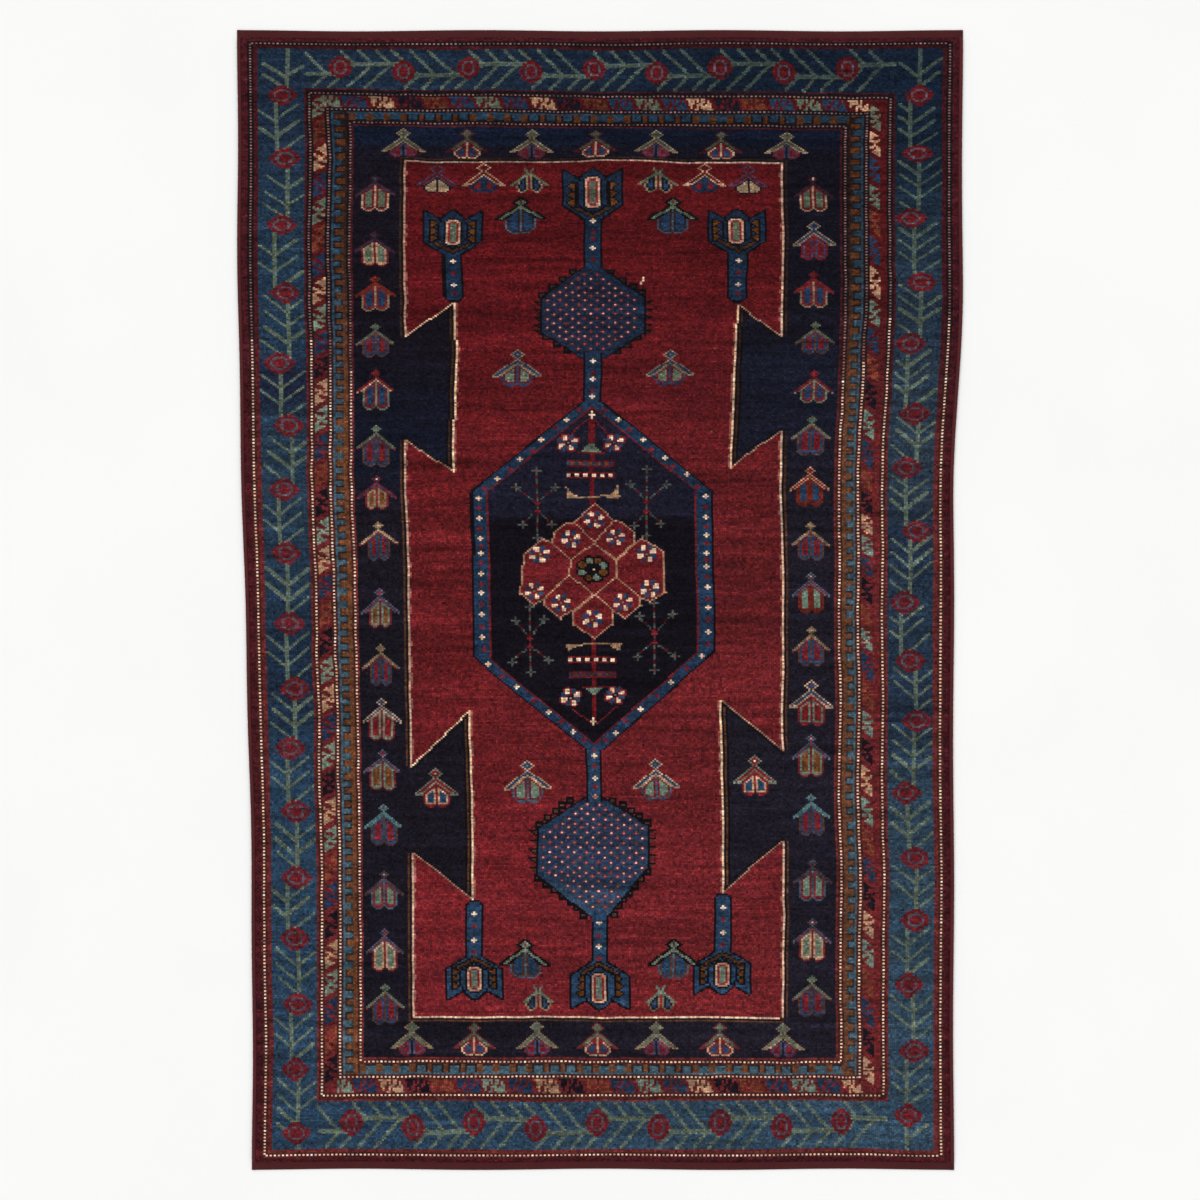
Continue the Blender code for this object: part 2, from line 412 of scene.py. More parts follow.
def weave_combs():
    """Blue teeth from the outer strip, brown teeth from the inner one and dark knots between."""
    for depth in (-29 - V + 0.5, V - (NEAR_MIRROR + 29) - 0.5):
        depth = np.round(depth)
        off = np.abs(np.mod(U + 0.6 + END_COMB_PERIOD / 2, END_COMB_PERIOD) - END_COMB_PERIOD / 2)
        span = (depth >= 0) & (depth <= 5) & (U > -117) & (U < 121)
        weave(span & ((depth == 5) | (off > END_BLUE_HALF) & (depth >= 1)), "block blue")
        weave(span & (off <= END_BROWN_HALF) & (depth <= 4), "block brown")
    side_rows = (V > -34) & (V < NEAR_MIRROR + 35)
    for depth, teeth in ((-117 - U - 0.5, LEFT_TEETH), (U - 122 + 0.5, RIGHT_TEETH)):
        depth = np.round(depth)
        part = comb_part(tooth_phase(teeth))
        span = side_rows & (depth >= 0) & (depth <= 6)
        weave(span, "block dark")
        weave(span & (depth <= 1), "block strip")
        weave(span & (part == 0) & (depth == 2), "blue tip")
        weave(span & (part == 2) & (depth == 5), "brown tip")
        weave(span & ((depth == 6) | (part == 0) & (depth >= 3)), "block blue")
        weave(span & (part == 2) & (depth >= 1) & (depth <= 4), "block brown")


# The leaning figure of the guard border, on its red ground
GUARD_FIGURE = whole([
    ".....X", "....XX", "..XXXX", ".XXXXX", "...XXX", "....XX", "X....X", "XXX.XX", ".XXXX.",
    "..XX..", ".XXXXX", "XX..XX", "XX....", "XXX...", "XXXXX.", "XXXX..", "XX....", "X.....",
])

# The row where each figure starts, and its dye; the last row only ends the one before
LEFT_GUARD = [
    (-45, "green"), (-29, "brown"), (-12, "cream"), (6, "blue"),
    (24, "green"), (43, "brown"), (62, "blue"), (79, "cream"), (96, "green"), (114, "blue"),
    (130, "navy"), (145, "cream"), (162, "green"), (178, "blue"), (195, "brown"), (211, "navy"),
    (229, "green"), (246, "cream"), (263, "blue"), (278, "brown"), (294, "navy"), (311, "green"),
    (327, "cream"), (344, "blue"), (361, "green"), (378, "navy"), (394, "cream"), (411, "green"),
    (427, "brown"), (444, "blue"), (461, "navy"), (478, "cream"), (495, "green"), (511, "blue"),
    (528, "brown"), (545, "navy"), (562, "green"),
]
RIGHT_GUARD = [
    (-41, "green"), (-23, "cream"), (-4, "blue"), (15, "green"),
    (33, "brown"), (52, "blue"), (72, "cream"), (94, "green"), (112, "blue"), (129, "brown"),
    (146, "navy"), (164, "green"), (182, "blue"), (200, "brown"), (214, "navy"), (227, "cream"),
    (240, "green"), (253, "blue"), (265, "navy"), (281, "brown"), (295, "green"), (309, "blue"),
    (326, "brown"), (343, "green"), (359, "navy"), (375, "cream"), (394, "green"), (412, "brown"),
    (430, "blue"), (445, "navy"), (462, "cream"), (478, "green"), (495, "brown"), (512, "blue"),
    (529, "navy"), (546, "cream"), (563, "green"),
]
END_GUARD_DYES = ("green", "blue", "cream", "navy", "brown", "blue")
END_FIGURES, END_GUARD_STEP = 22, 12.6
GUARD_ROWS = 8                          # depth of the guard at an end
GUARD_START, GUARD_END = -132, 131      # from where to where it runs across
LEFT_FIGURE, RIGHT_FIGURE = (-129.5, 6), (133.5, 5)   # a side figure's middle column and width


def weave_guards():
    """The leaning figures one after another down both sides, and turned along both ends."""
    end_figure = GUARD_FIGURE.T[::-1]
    for depth_top in (-45, NEAR_MIRROR + 38):
        for number in range(END_FIGURES):
            start = GUARD_START + END_GUARD_STEP * number
            end = min(start + END_GUARD_STEP, GUARD_END)
            dye = "guard " + END_GUARD_DYES[number % len(END_GUARD_DYES)]
            stamp(end_figure, (start + end) / 2, depth_top, {"X": dye}, GUARD_ROWS, int(round(end - start)))
    for columns in ((-132, -127), (132, 139)):
        block(*columns, -45, NEAR_MIRROR + 45, "guard red")
    sides = ((LEFT_GUARD, GUARD_FIGURE, *LEFT_FIGURE), (RIGHT_GUARD, GUARD_FIGURE[:, ::-1], *RIGHT_FIGURE))
    for figures, figure, middle, width in sides:
        for (start, dye), (end, _) in zip(figures, figures[1:]):
            stamp(figure, middle, start, {"X": "guard " + dye}, end - start, width)


# Half charts of the roofed flower: t tips and lower roof edge, r roof core, e upper roof edge,
# d dot in the finial, o body outline, i line inside it, l lobes
TALL_FLOWER = mirrored([
    "e", "re", "dre", "re", "e", "re", "tre", "otre", "oitre", "oiitre", "oilitre", "oillitre",
    "oilllitre", "oillliotre", "oilllio..t",
] + ["oilllio"] * 6 + ["oiiiiio", ".oiiio", "..ooo"])
SLIM_FLOWER = mirrored([
    "e", "re", "dre", "re", "e", "re", "tre", "otre", "oitre", "oiitre", "oilitre", "oillitre",
    "oilliotre", "oillio.tre", "oillio...t",
] + ["oillio"] * 6 + ["oiiiio", ".oiio", "..oo"])
LOBED_FLOWER = mirrored([
    "t", "rt", "rrt", "rrrt", "rrt", "rt", "rt", "rrt", "trrt", ".trrt", "i.trrt", ".iotrrt",
    ".iiotrrt", ".iliotrrt", ".illiotttt", ".illlio.ttt", ".illlio", ".illlio", ".iiiio", "..ooo",
])
GABLE_FLOWER = mirrored([
    "t", "rt", "rrt", "rrrt", "rrt", "rt", "rt", "rrt", "trrt", "otrrt", "oitrrt", "oiitrrt",
    "oiiotrrt", "oiliotrrt", "oilliotttt", "oilllio.ttt", "oilllio", "oilllio", "oiiiio", ".oooo",
])
PETAL_FLOWER = mirrored([
    "t", "rt", "rrt", "rrrt", "rrt", "rt", "rt", "rrt", "trrt", "otrrt", "ootrrt", "olotrrt",
    "ollotrrt", "olllotrrt", "ollllotttt", "olllllo.ttt", "olllllo", "olllllo", "olllllo", "ollllo", ".oooo",
])
LARGE_FLOWER = mirrored([
    "e", "re", "rre", "drre", "rre", "re", "re", "rre", "trre", "otrre", "ootrre", "oootrre",
    "oiootrre", "oiiootrre", "oiliootrre", "oillioottre", "oillliotttt",
] + ["oilllio"] * 7 + ["oiiiiio", ".ooooo", "..ooo"])
WIDE_FLOWER = mirrored([
    "e", "re", "rre", "drre", "rre", "re", "e", "re", "rre", "trre", "ottrre", "oittrre",
    "oiittrre", "oilittrre", "oillittrre", "oilllittrre", "oillllittrre", "oillllio.ttt",
] + ["oillllio"] * 4 + ["oilllio", "oiiiiio", "oooooo", "..ooo"])
DARK_ROOF_FLOWER = mirrored([
    "tt", "rtt", "drtt", "drrtt", "rrtt", "rtt", "rrtt", "rrrtt", "otrrtt", "oitrrtt", "oiltrrrtt",
    "oillttrrtt", "oilllttrrtt", "oillllttrrtt", "oillllittrrtt", "oillllio.tttt", "oillllio",
] + ["oillllio"] * 5 + ["oilllio", "oiiiio", ".oooo"])
OPEN_FLOWER = mirrored([
    "..t", ".tt", ".t", "tt", "ttt", ".itt", ".iott", ".ioott", ".iolott", ".ioloitt", ".ioloi.tt",
    ".iolloi.tt", ".iolloi", ".iolloi", ".ioloi", "..iooi", "...ii",
])

# Roofed flowers of the side borders: middle column, top row, chart, height, dyes t r o i l
BORDER_FLOWERS = [
    (-103.5, 9, TALL_FLOWER, 25, "thin_red blue straw madder sage slate thin_red"),
    (-103.5, 47, TALL_FLOWER, 24, "thin_red blue madder straw sage slate thin_red"),
    (-103.5, 77, TALL_FLOWER, 24, "rust rust buff madder blue"),
    (-103.5, 109, TALL_FLOWER, 22, "madder dull_sage brown blue madder"),
    (-103.5, 139, TALL_FLOWER, 25, "straw madder sage madder blue"),
    (-103.5, 173, TALL_FLOWER, 25, "madder dull_sage brown blue madder"),
    (-103.5, 203, SLIM_FLOWER, 22, "madder blue madder buff ochre light madder"),
    (-103.5, 232, SLIM_FLOWER, 24, "madder straw brown blue madder light buff"),
    (-103.5, 272, SLIM_FLOWER, 23, "slate madder madder sage ochre madder slate"),
    (-103.5, 304, SLIM_FLOWER, 24, "madder buff brown blue madder"),
    (-103.5, 335, TALL_FLOWER, 25, "straw blue madder sage crimson blue straw"),
    (-103.5, 365, TALL_FLOWER, 25, "slate madder madder sage ochre madder slate"),
    (-103.5, 398, TALL_FLOWER, 25, "teal teal brown blue madder rust"),
    (-103.5, 438, TALL_FLOWER, 23, "brown blue slate madder mint light brown"),
    (-103.5, 472, TALL_FLOWER, 25, "slate madder madder straw sage madder slate"),
    (-103.5, 504, TALL_FLOWER, 24, "madder dull_sage brown blue madder"),
    (105.0, 9, TALL_FLOWER, 25, "thin_red purple straw madder sage light thin_red"),
    (105.0, 41, LARGE_FLOWER, 27, "buff blue crimson haze crimson madder buff"),
    (105.0, 75, TALL_FLOWER, 24, "rust madder buff madder blue"),
    (105.2, 108, TALL_FLOWER, 21, "madder dull_sage brown blue madder"),
    (105.5, 139, TALL_FLOWER, 21, "sage madder sage madder blue"),
    (105.5, 168, TALL_FLOWER, 24, "madder dull_sage brown blue crimson"),
    (105.7, 199, TALL_FLOWER, 24, "salmon rust rust rust blue rust salmon"),
    (105.7, 232, TALL_FLOWER, 23, "madder buff brown blue madder"),
    (105.6, 262, TALL_FLOWER, 24, "slate madder rust rust mint light slate"),
    (105.5, 294, TALL_FLOWER, 23, "madder buff brown blue madder light"),
    (105.5, 325, LARGE_FLOWER, 27, "straw blue madder sage crimson madder straw"),
    (105.4, 357, TALL_FLOWER, 25, "slate madder madder sage ochre light slate"),
    (105.4, 392, TALL_FLOWER, 25, "teal teal brown blue madder rust"),
    (105.4, 431, TALL_FLOWER, 25, "brown blue slate madder mint blue brown"),
    (105.4, 466, TALL_FLOWER, 25, "slate madder madder straw sage light slate"),
    (105.4, 499, TALL_FLOWER, 24, "madder dull_sage brown blue madder"),
]
END_FLOWER_COLUMNS = (-90, -60.5, -29.7, 0.6, 30, 61, 91.8)
END_FLOWERS = ((LOBED_FLOWER, "buff dull_sage crimson haze crimson"),
               (GABLE_FLOWER, "thin_red dull_sage straw crimson blue"))
END_FLOWER_ROWS = (-23, NEAR_MIRROR + 4)
END_FLOWER_HEIGHT = 20
ROWS_BELOW_LOBE = 5                     # from the lobe row that repeats to a chart's last row


def flower(middle, top, chart, height, dyes):
    """A roofed flower with its dyes named in the order t r o i l d e; d and e are r unless named.
    It is made taller or lower by repeating or leaving out rows of its lobes."""
    dyes = [dye.replace("_", " ") for dye in dyes.split()]
    roles = dict(zip("troilde", dyes + dyes[1:2] * (7 - len(dyes))))
    lobe_row, extra = len(chart) - ROWS_BELOW_LOBE, height - len(chart)
    kept = np.arange(lobe_row + min(extra, 0))
    rows = np.concatenate([kept, np.full(max(extra, 0), lobe_row), np.arange(lobe_row, len(chart))])
    stamp(chart[rows], middle, top, roles)


def weave_border_flowers():
    """Flowers down the navy side borders and across the navy end borders."""
    for middle, top, chart, height, dyes in BORDER_FLOWERS:
        flower(middle, top, chart, height, dyes)
    diamond(104.7, 10.8, "light", 0)
    for number, middle in enumerate(END_FLOWER_COLUMNS):
        chart, dyes = END_FLOWERS[number % 2]
        for top in END_FLOWER_ROWS:
            flower(middle, top, chart, END_FLOWER_HEIGHT, dyes)


# The rose vine: each rose's middle across and along, and the column of the stem before it
LEFT_ROSES = [
    (-147, -45, -145.4), (-146.4, -3, -150.4), (-147.7, 43, -144.8), (-146.1, 89, -150.8),
    (-149.6, 135, -145.4), (-145.4, 174, -148.7), (-148.3, 213, -144.4), (-148.2, 251, -151.2),
    (-147.2, 292, -147.5), (-145.8, 330, -149), (-148.2, 365, -145.6), (-146.6, 403, -150),
    (-146.7, 442, -146.4), (-147.8, 478, -151.4), (-146.5, 516, -146), (-148, 554, -150),
    (-147, 592, -146),
]
RIGHT_ROSES = [
    (154, -48, 153.6), (153.5, -6, 150.4), (150.5, 39, 153.8), (155.3, 82.5, 152.5),
    (150.8, 122.5, 154.9), (154.9, 166, 149.6), (152.3, 199, 157.4), (157.3, 238, 151.5),
    (151.6, 280, 154.2), (154.3, 314, 150), (157.5, 349, 157), (152.1, 392, 156.5),
    (155.7, 430.6, 153), (155.8, 467.5, 155.5), (153, 505, 152), (155.5, 543, 155), (153, 581, 152),
]
# Rows between branches, by row
LEFT_BRANCH_STEPS = ((89, 11.6), (135, 10.3), (174, 9.6), (235, 8.9))
RIGHT_BRANCH_STEPS = ((30, 9.0), (80, 8.2), (160, 7.6), (235, 7.6), (330, 8.0), (430, 9.2))
FIRST_FOOT = {-1: 12.5, 1: 13.5}        # rows from a rose back to the first branch on each side
LAST_FOOT = 11                          # rows left bare after the rose before
BRANCH_REACH, ROSE_BRANCH_REACH = 10.5, 9
BRANCH_MARGIN = 0.8                     # knots between a branch's tip and the border's edge
ROSE_BRANCH_FOOT = 6                    # rows from a rose's middle back to its own branch

# A rose: half sizes, how pointed it is (2 is round), the depth and number of its teeth, its ring
SIDE_ROSE, END_ROSE = (7.3, 7.0), (6.0, 8.6)
ROSE_POINT, ROSE_TEETH_DEPTH, ROSE_TEETH = 1.35, 0.08, 14
RING_START, RING_END = 0.42, 0.58


def rose(u, v, half_width, half_length):
    """A pointed rose with a serrated edge and a thin grey ring about its heart."""
    window, du, dv = near(u, v, 12)
    across, along = np.abs(du / half_width), np.abs(dv / half_length)
    edge = 1.0 + ROSE_TEETH_DEPTH * np.cos(ROSE_TEETH * np.arctan2(along, across))
    reach = (across ** ROSE_POINT + along ** ROSE_POINT) ** (1 / ROSE_POINT)
    weave(reach / edge <= 1, "rose red", window)
    heart = np.hypot(across, along)
    weave((heart > RING_START) & (heart < RING_END), "rose ring", window)


def weave_side_vine(roses, branch_steps, low, high):
    """Stems that change sides at each rose, with branches rising one row to a knot on both sides,
    and one more branch from the rose itself on the side away from its stem."""
    last_u, _, last_stem = roses[-1]
    starts = [VINE_START] + [rose_row for _, rose_row, _ in roses]
    ends = [*roses, (last_u, VINE_END, last_stem)]
    rows, steps = zip(*branch_steps)
    for start, (across, end, stem) in zip(starts, ends):
        middle = round(stem)
        line([(middle, start), (middle, end)], "stem green", 2.0)
        step = np.interp(end, rows, steps)
        away = np.sign(across - stem)
        for side, edge in ((-1, low + BRANCH_MARGIN), (1, high - BRANCH_MARGIN)):
            reach = min(abs(edge - stem), BRANCH_REACH)
            for foot in np.arange(end - FIRST_FOOT[side], start + LAST_FOOT, -step):
                line([(stem, foot), (stem + side * reach, foot - reach)], "stem green", 1.6)
            if side == away:
                foot, reach = end - ROSE_BRANCH_FOOT, min(abs(edge - across), ROSE_BRANCH_REACH)
                line([(across, foot), (across + side * reach, foot - reach)], "stem green", 1.6)
    for across, row, _ in roses:
        rose(across, row, *SIDE_ROSE)


VINE_START, VINE_END = FIRST_ROW + 8, LAST_ROW - 8
END_ROSES = [-120 + 30 * number for number in range(9)]
END_STEM_SHIFTS, END_ROSE_SHIFTS = (4, -4), (-1.5, 1.5)   # off the middle of the border, by turns
END_BRANCH_STEP, END_BRANCH_LEAN, END_BRANCH_CLEAR = 8.5, 0.7, 6


def weave_end_vine(first_row, last_row):
    """The same vine turned along an end, with its branches leaning to the right."""
    middle = (first_row + last_row + 1) / 2
    stops = [-136] + END_ROSES + [143]
    for number, (start, end) in enumerate(zip(stops, stops[1:])):
        stem = middle + END_STEM_SHIFTS[number % 2]
        line([(start, stem), (end, stem)], "stem green", 2.2)
        for foot in np.arange(end - END_BRANCH_CLEAR, start + END_BRANCH_CLEAR, -END_BRANCH_STEP):
            for edge in (first_row + 1, last_row):
                tip = foot - abs(edge - stem) * END_BRANCH_LEAN
                line([(foot, stem), (tip, edge)], "stem green", 1.7)
    for number, u in enumerate(END_ROSES):
        rose(u, middle + END_ROSE_SHIFTS[number % 2], *END_ROSE)


def weave_vines():
    """Vines along both ends first, then the side vines, which run through the corners."""
    weave_end_vine(-79, -51)
    weave_end_vine(NEAR_MIRROR + 51, NEAR_MIRROR + 79)
    for columns in ((-158, -137), (144, 165)):
        block(*columns, -79, NEAR_MIRROR + 79, "vine blue")
    before = plan.copy()
    weave_side_vine(LEFT_ROSES, LEFT_BRANCH_STEPS, -159, -137)
    weave_side_vine(RIGHT_ROSES, RIGHT_BRANCH_STEPS, 144, 165)
    vine = ((U > -159) & (U < -137)) | ((U > 143) & (U < 165))
    vine &= (V > -79) & (V < NEAR_MIRROR + 80)
    plan[~vine] = before[~vine]


# ---------------------------------------------------------------- the field

# Navy notches that bite into the field: outline from the border corner, and the brown line inside
NOTCHES = [
    dict(corner=(-89.6, 117), tip=(-66.6, 96), foot=(-66.8, 202), end=(-89.4, 182),
         side=[(-66.4, 112), (-65.6, 128), (-65.4, 150), (-66.2, 176)]),
    dict(corner=(-89.6, 375), tip=(-60.6, 342), foot=(-60.6, 455), end=(-89.4, 427), side=[(-60.4, 400)]),
    dict(corner=(89.5, 117), tip=(68.2, 97), foot=(67.4, 199), end=(91.6, 177),
         side=[(67.6, 130), (67.4, 170)]),
    dict(corner=(91.5, 366), tip=(61.5, 337), foot=(61.4, 450), end=(91.5, 420), side=[(61.6, 390)]),
]
BORDER_MIDDLE = 95                      # a column in the navy border, where a notch begins
NOTCH_BLUSH = 0.55                      # share of the rows beside the cream edge with a pink knot


def weave_notch(corner, tip, foot, end, side):
    """A navy wedge that opens from the border and widens to a straight cream edge in the field,
    with a brown line two knots inside the edge."""
    outward = -1 if corner[0] < 0 else 1
    border = outward * BORDER_MIDDLE
    edge = [tip, *side, foot]
    patch([(border, corner[1]), corner, *edge, end, (border, end[1])], "navy")
    for step, dye in ((1, "black"), (2, "brown line"), (3, "black")):
        shortened = [(tip[0], tip[1] + 1.5 * step), *side, (foot[0], foot[1] - 1.8 * step)]
        thread([(u + outward * step, v) for u, v in shortened], dye)
    for ends, down in (((corner, tip), 2), ((foot, end), -1.5)):
        thread([(u - outward * 0.2, v + down) for u, v in ends], "black")
    thread([corner, tip], "cream" if outward < 0 else "dim cream")
    thread([foot, end], "dim cream")
    thread(edge, "cream")
    ragged(edge, "blush", NOTCH_BLUSH, -outward)


def tulip(middle, crown, mirror_row=None, scale=1.0):
    """Places points (across, down) of a tulip from its axis and crown row, upright or turned round."""
    def place(points):
        if mirror_row is None:
            return [(middle + u, crown + scale * v) for u, v in points]
        return [(middle + u, mirror_row - scale * (crown + v)) for u, v in points]
    return place


# The lozenge in a tulip and the toothed spine in its wing: a black, m cream, d red, h sage, e brown
LOZENGE = mirrored(["aaa", "mmma", "ddmma"] + ["hhdma"] * 13 + ["ddmma", "mmma", "aaa"])
SPINE = whole(["aaa"] + ["aeea", "aeeea", "aeea", "aea", "aaa"] * 3)
FIGURE_DYES = {"a": "black", "m": "lozenge cream", "d": "lozenge red", "h": "sage", "e": "spine"}


def charted(place, chart, u, top, bottom):
    """Weaves a chart between two rows of a tulip, turned round where the tulip is."""
    (middle, first), (_, last) = place([(u, top), (u, bottom)])
    if last < first:
        chart, first, last = chart[::-1], last, first
    stamp(chart, middle, first, FIGURE_DYES, int(round(last - first)))


def weave_tulip(place, half_width, notch, side_end, neck, stem_end, stem_half, lozenge, shield,
                spine, outward, marks, rounded):
    """A three-pointed tulip on a stem: blue with a black edge, a shield with a lozenge in the middle,
    toothed brown spines in the wings, a brown chevron below and dots down the stem."""
    foot = stem_end + 2.5 * rounded
    cup = [(-half_width, 0), (-half_width * 0.46, notch), (-1.7, 0.6), (0, -0.6), (1.7, 0.6),
           (half_width * 0.46, notch), (half_width, 0), (half_width, side_end), (stem_half, neck),
           (-stem_half, neck), (-half_width, side_end)]
    stem = [(-stem_half, neck - 1), (stem_half, neck - 1), (stem_half, stem_end),
            (stem_half - 1.5, foot), (1.5 - stem_half, foot), (-stem_half, stem_end)]
    ring(place(cup), "black", 2.1)
    ring(place(stem), "black", 2.0)
    patch(place(cup), "tulip blue")
    patch(place(stem), "tulip blue")

    half, low = shield
    right = [(0, low), (half, low - 6), (half, notch + 3), (half_width * 0.42, notch)]
    thread(place([(-u, v) for u, v in right[:0:-1]] + right), "black")
    charted(place, LOZENGE, 0, *lozenge)
    across, first, last = spine
    chevron = [(across, last - 0.5), (0, neck - 1.6)]
    for side in (-1, 1):
        for lift, dye in ((-1.6, "black"), (1.4, "black"), (-0.4, "chevron brown"), (0.4, "chevron brown")):
            thread(place([(side * u, v + lift) for u, v in chevron]), dye)
        chart = SPINE[:, ::-1] if side * outward < 0 else SPINE
        charted(place, chart, side * across, first, last)
    for row, dye in marks:
        diamond(*place([(0.2, row)])[0], dye, 1)


def weave_tulips():
    """Three tulips at the far end, and the same three turned round at the near end."""
    centre = dict(half_width=13.8, notch=6.2, side_end=23.5, neck=33.5, stem_end=66, stem_half=3.5,
                  lozenge=(3.5, 26.5), shield=(7.3, 29.5), spine=(9.6, 7.5, 25), outward=1, rounded=0,
                  marks=[(34.5, "light"), (41, "crimson"), (46.5, "crimson"), (52.5, "light"),
                         (60, "crimson")])
    side = dict(half_width=13.2, notch=5.8, side_end=20.5, neck=29, stem_end=58.5, stem_half=3.8,
                lozenge=(4, 23), shield=(6.9, 24.5), spine=(9.0, 5.5, 21.5), outward=-1, rounded=1,
                marks=[(33.5, "light"), (41.5, "crimson"), (49.5, "light"), (56, "crimson")])
    weave_tulip(tulip(-0.5, 6), **centre)
    for middle in (-66.7, 68.0):
        weave_tulip(tulip(middle, 33.5), **side)
    near_centre = dict(centre, stem_end=67, stem_half=3.0,
                       marks=[(36, "crimson"), (44, "light"), (52.3, "crimson"), (62.2, "light")])
    near_left = dict(side, stem_end=65, stem_half=3.3,
                     marks=[(32, "crimson"), (41, "light"), (50, "crimson"), (59, "light")])
    near_right = dict(side, stem_end=67.5, stem_half=3.3,
                      marks=[(34, "crimson"), (43, "light"), (51.5, "crimson"), (61, "light")])
    weave_tulip(tulip(1.7, 6, 523, 0.806), **near_centre)
    weave_tulip(tulip(-59.4, 12, 523, 0.83), **near_left)
    weave_tulip(tulip(61.4, 16, 523, 0.83), **near_right)


UPPER_HEXAGON = dict(
    outline=[(-4, 72), (-25, 92), (-25, 114.5), (-6, 131), (5, 131), (24, 114.5), (24, 92), (3.5, 72)],
    squares=[(-9.5, 75), (-14.5, 80), (-19.5, 85), (-24.5, 90), (7, 75), (13, 80), (18, 84.5),
             (22.5, 88.5), (-22, 118), (-17.5, 122.5), (-12.5, 126.5), (20, 118), (15.5, 123), (10.5, 127)],
    left_teeth=(-25, (96, 101, 106, 111, 115)), right_teeth=(24, (96, 101, 106, 111, 115)),
    dot_rows=(73.5, 128),
)
LOWER_HEXAGON = dict(
    outline=[(-4.5, 394), (-28, 413.5), (-28, 441), (-2, 465.5), (6, 464), (25, 436), (25, 411.5),
             (3, 394.5)],
    squares=[(-12, 396.5), (-16, 399.5), (-19.5, 403), (-23.5, 407), (-27, 411.5), (-27, 442.5),
             (-23.5, 446.5), (-19, 450), (-15, 453.5), (-11.5, 456.5), (-8, 460), (-5, 464.5), (7.5, 396),
             (12.5, 398.5), (16, 402), (20, 405.5), (24, 409.5), (24, 438.5), (21.5, 443), (18.5, 447.5),
             (15, 451.5), (12.5, 455), (10, 459), (8, 464)],
    left_teeth=(-28, (416.5, 422, 427.5, 432.5, 438)), right_teeth=(25, (415, 420, 425, 430, 435)),
    dot_rows=(395.5, 461),
)
DOT_ROW_STEP, DOT_COLUMN_STEP, DOT_AXIS = 2.9, 6, -1
LIGHT_DOTS = 0.72                       # share of the dots that are light and not dim


def weave_hexagon(outline, squares, left_teeth, right_teeth, dot_rows):
    """A dotted blue hexagon with black squares stepped along its slopes and teeth on its sides."""
    middle = (outline[0][0] + outline[-1][0]) / 2
    for u, v in squares:
        window, du, dv = near(u + 0.6 * np.sign(u - middle), v, 4)
        weave((np.abs(du) <= 2.0) & (np.abs(dv) <= 2.0), "black", window)
        weave((np.abs(du) <= 1.0) & (np.abs(dv) <= 0.8), "brown line", window)
    for (edge, teeth), out in ((left_teeth, -1), (right_teeth, 1)):
        for row in teeth:
            root, tip = edge + out, edge + out * 3.4
            patch([(edge, row + 2.6), (edge + out * 5.2, row - 2.2), (edge, row - 2.6)], "black")
            patch([(root, row + 1.0), (tip, row - 1.4), (root, row - 1.4)], "brown line")
    ring(outline, "black", 2.0)
    shape = inside(outline)
    weave(shape, "hexagon blue")
    first, last = dot_rows
    for step in range(int((last - first) / DOT_ROW_STEP) + 1):
        row = int(np.floor(first + DOT_ROW_STEP * step)) - FIRST_ROW
        shift = DOT_COLUMN_STEP // 2 * (step % 2)
        dot = np.arange(-30 + shift, 31, DOT_COLUMN_STEP) + DOT_AXIS - FIRST_COLUMN
        dot = dot[shape[row, dot] & shape[row, dot - 2] & shape[row, dot + 2]]
        for down, beside in ((0, -1), (0, 1), (-1, 0), (1, 0)):
            weave((row + down, dot + beside), "dot side")
        light = random.random(len(dot)) < LIGHT_DOTS
        weave((row, dot[light]), "dot light")
        weave((row, dot[~light]), "dot dim")


def weave_stems():
    """Stems that join the tulips, hexagons and medallion, with small marks down them."""
    for left, right, start, end in ((-3, 3, 128, 164), (-3, 2, 360, 396)):
        block(left - 1, right + 1, start, end, "black")
        block(left, right, start, end, "tulip blue")
    marks = [(-0.3, 133.5, "light"), (-0.3, 141, "crimson"), (-0.3, 145, "light"), (-0.3, 152, "crimson"),
             (-0.3, 156, "light"), (-0.7, 369.5, "light"), (-0.7, 375.5, "crimson"), (-0.7, 382, "light"),
             (-0.7, 387, "crimson"), (-0.7, 393, "salmon"), (-0.7, 365, "crimson")]
    for u, v, dye in marks:
        diamond(u, v, dye, 1)


MEDALLION_LEFT = [(-6, 160), (-58.5, 214.5), (-59, 312), (-5, 366)]
MEDALLION_RIGHT = [(5, 160), (59, 213), (59, 309), (5, 366)]
MEDALLION_BANDS = ((1.2, "band blue"), (7.7, "band red"), (8.8, "ink"))   # depth where each starts

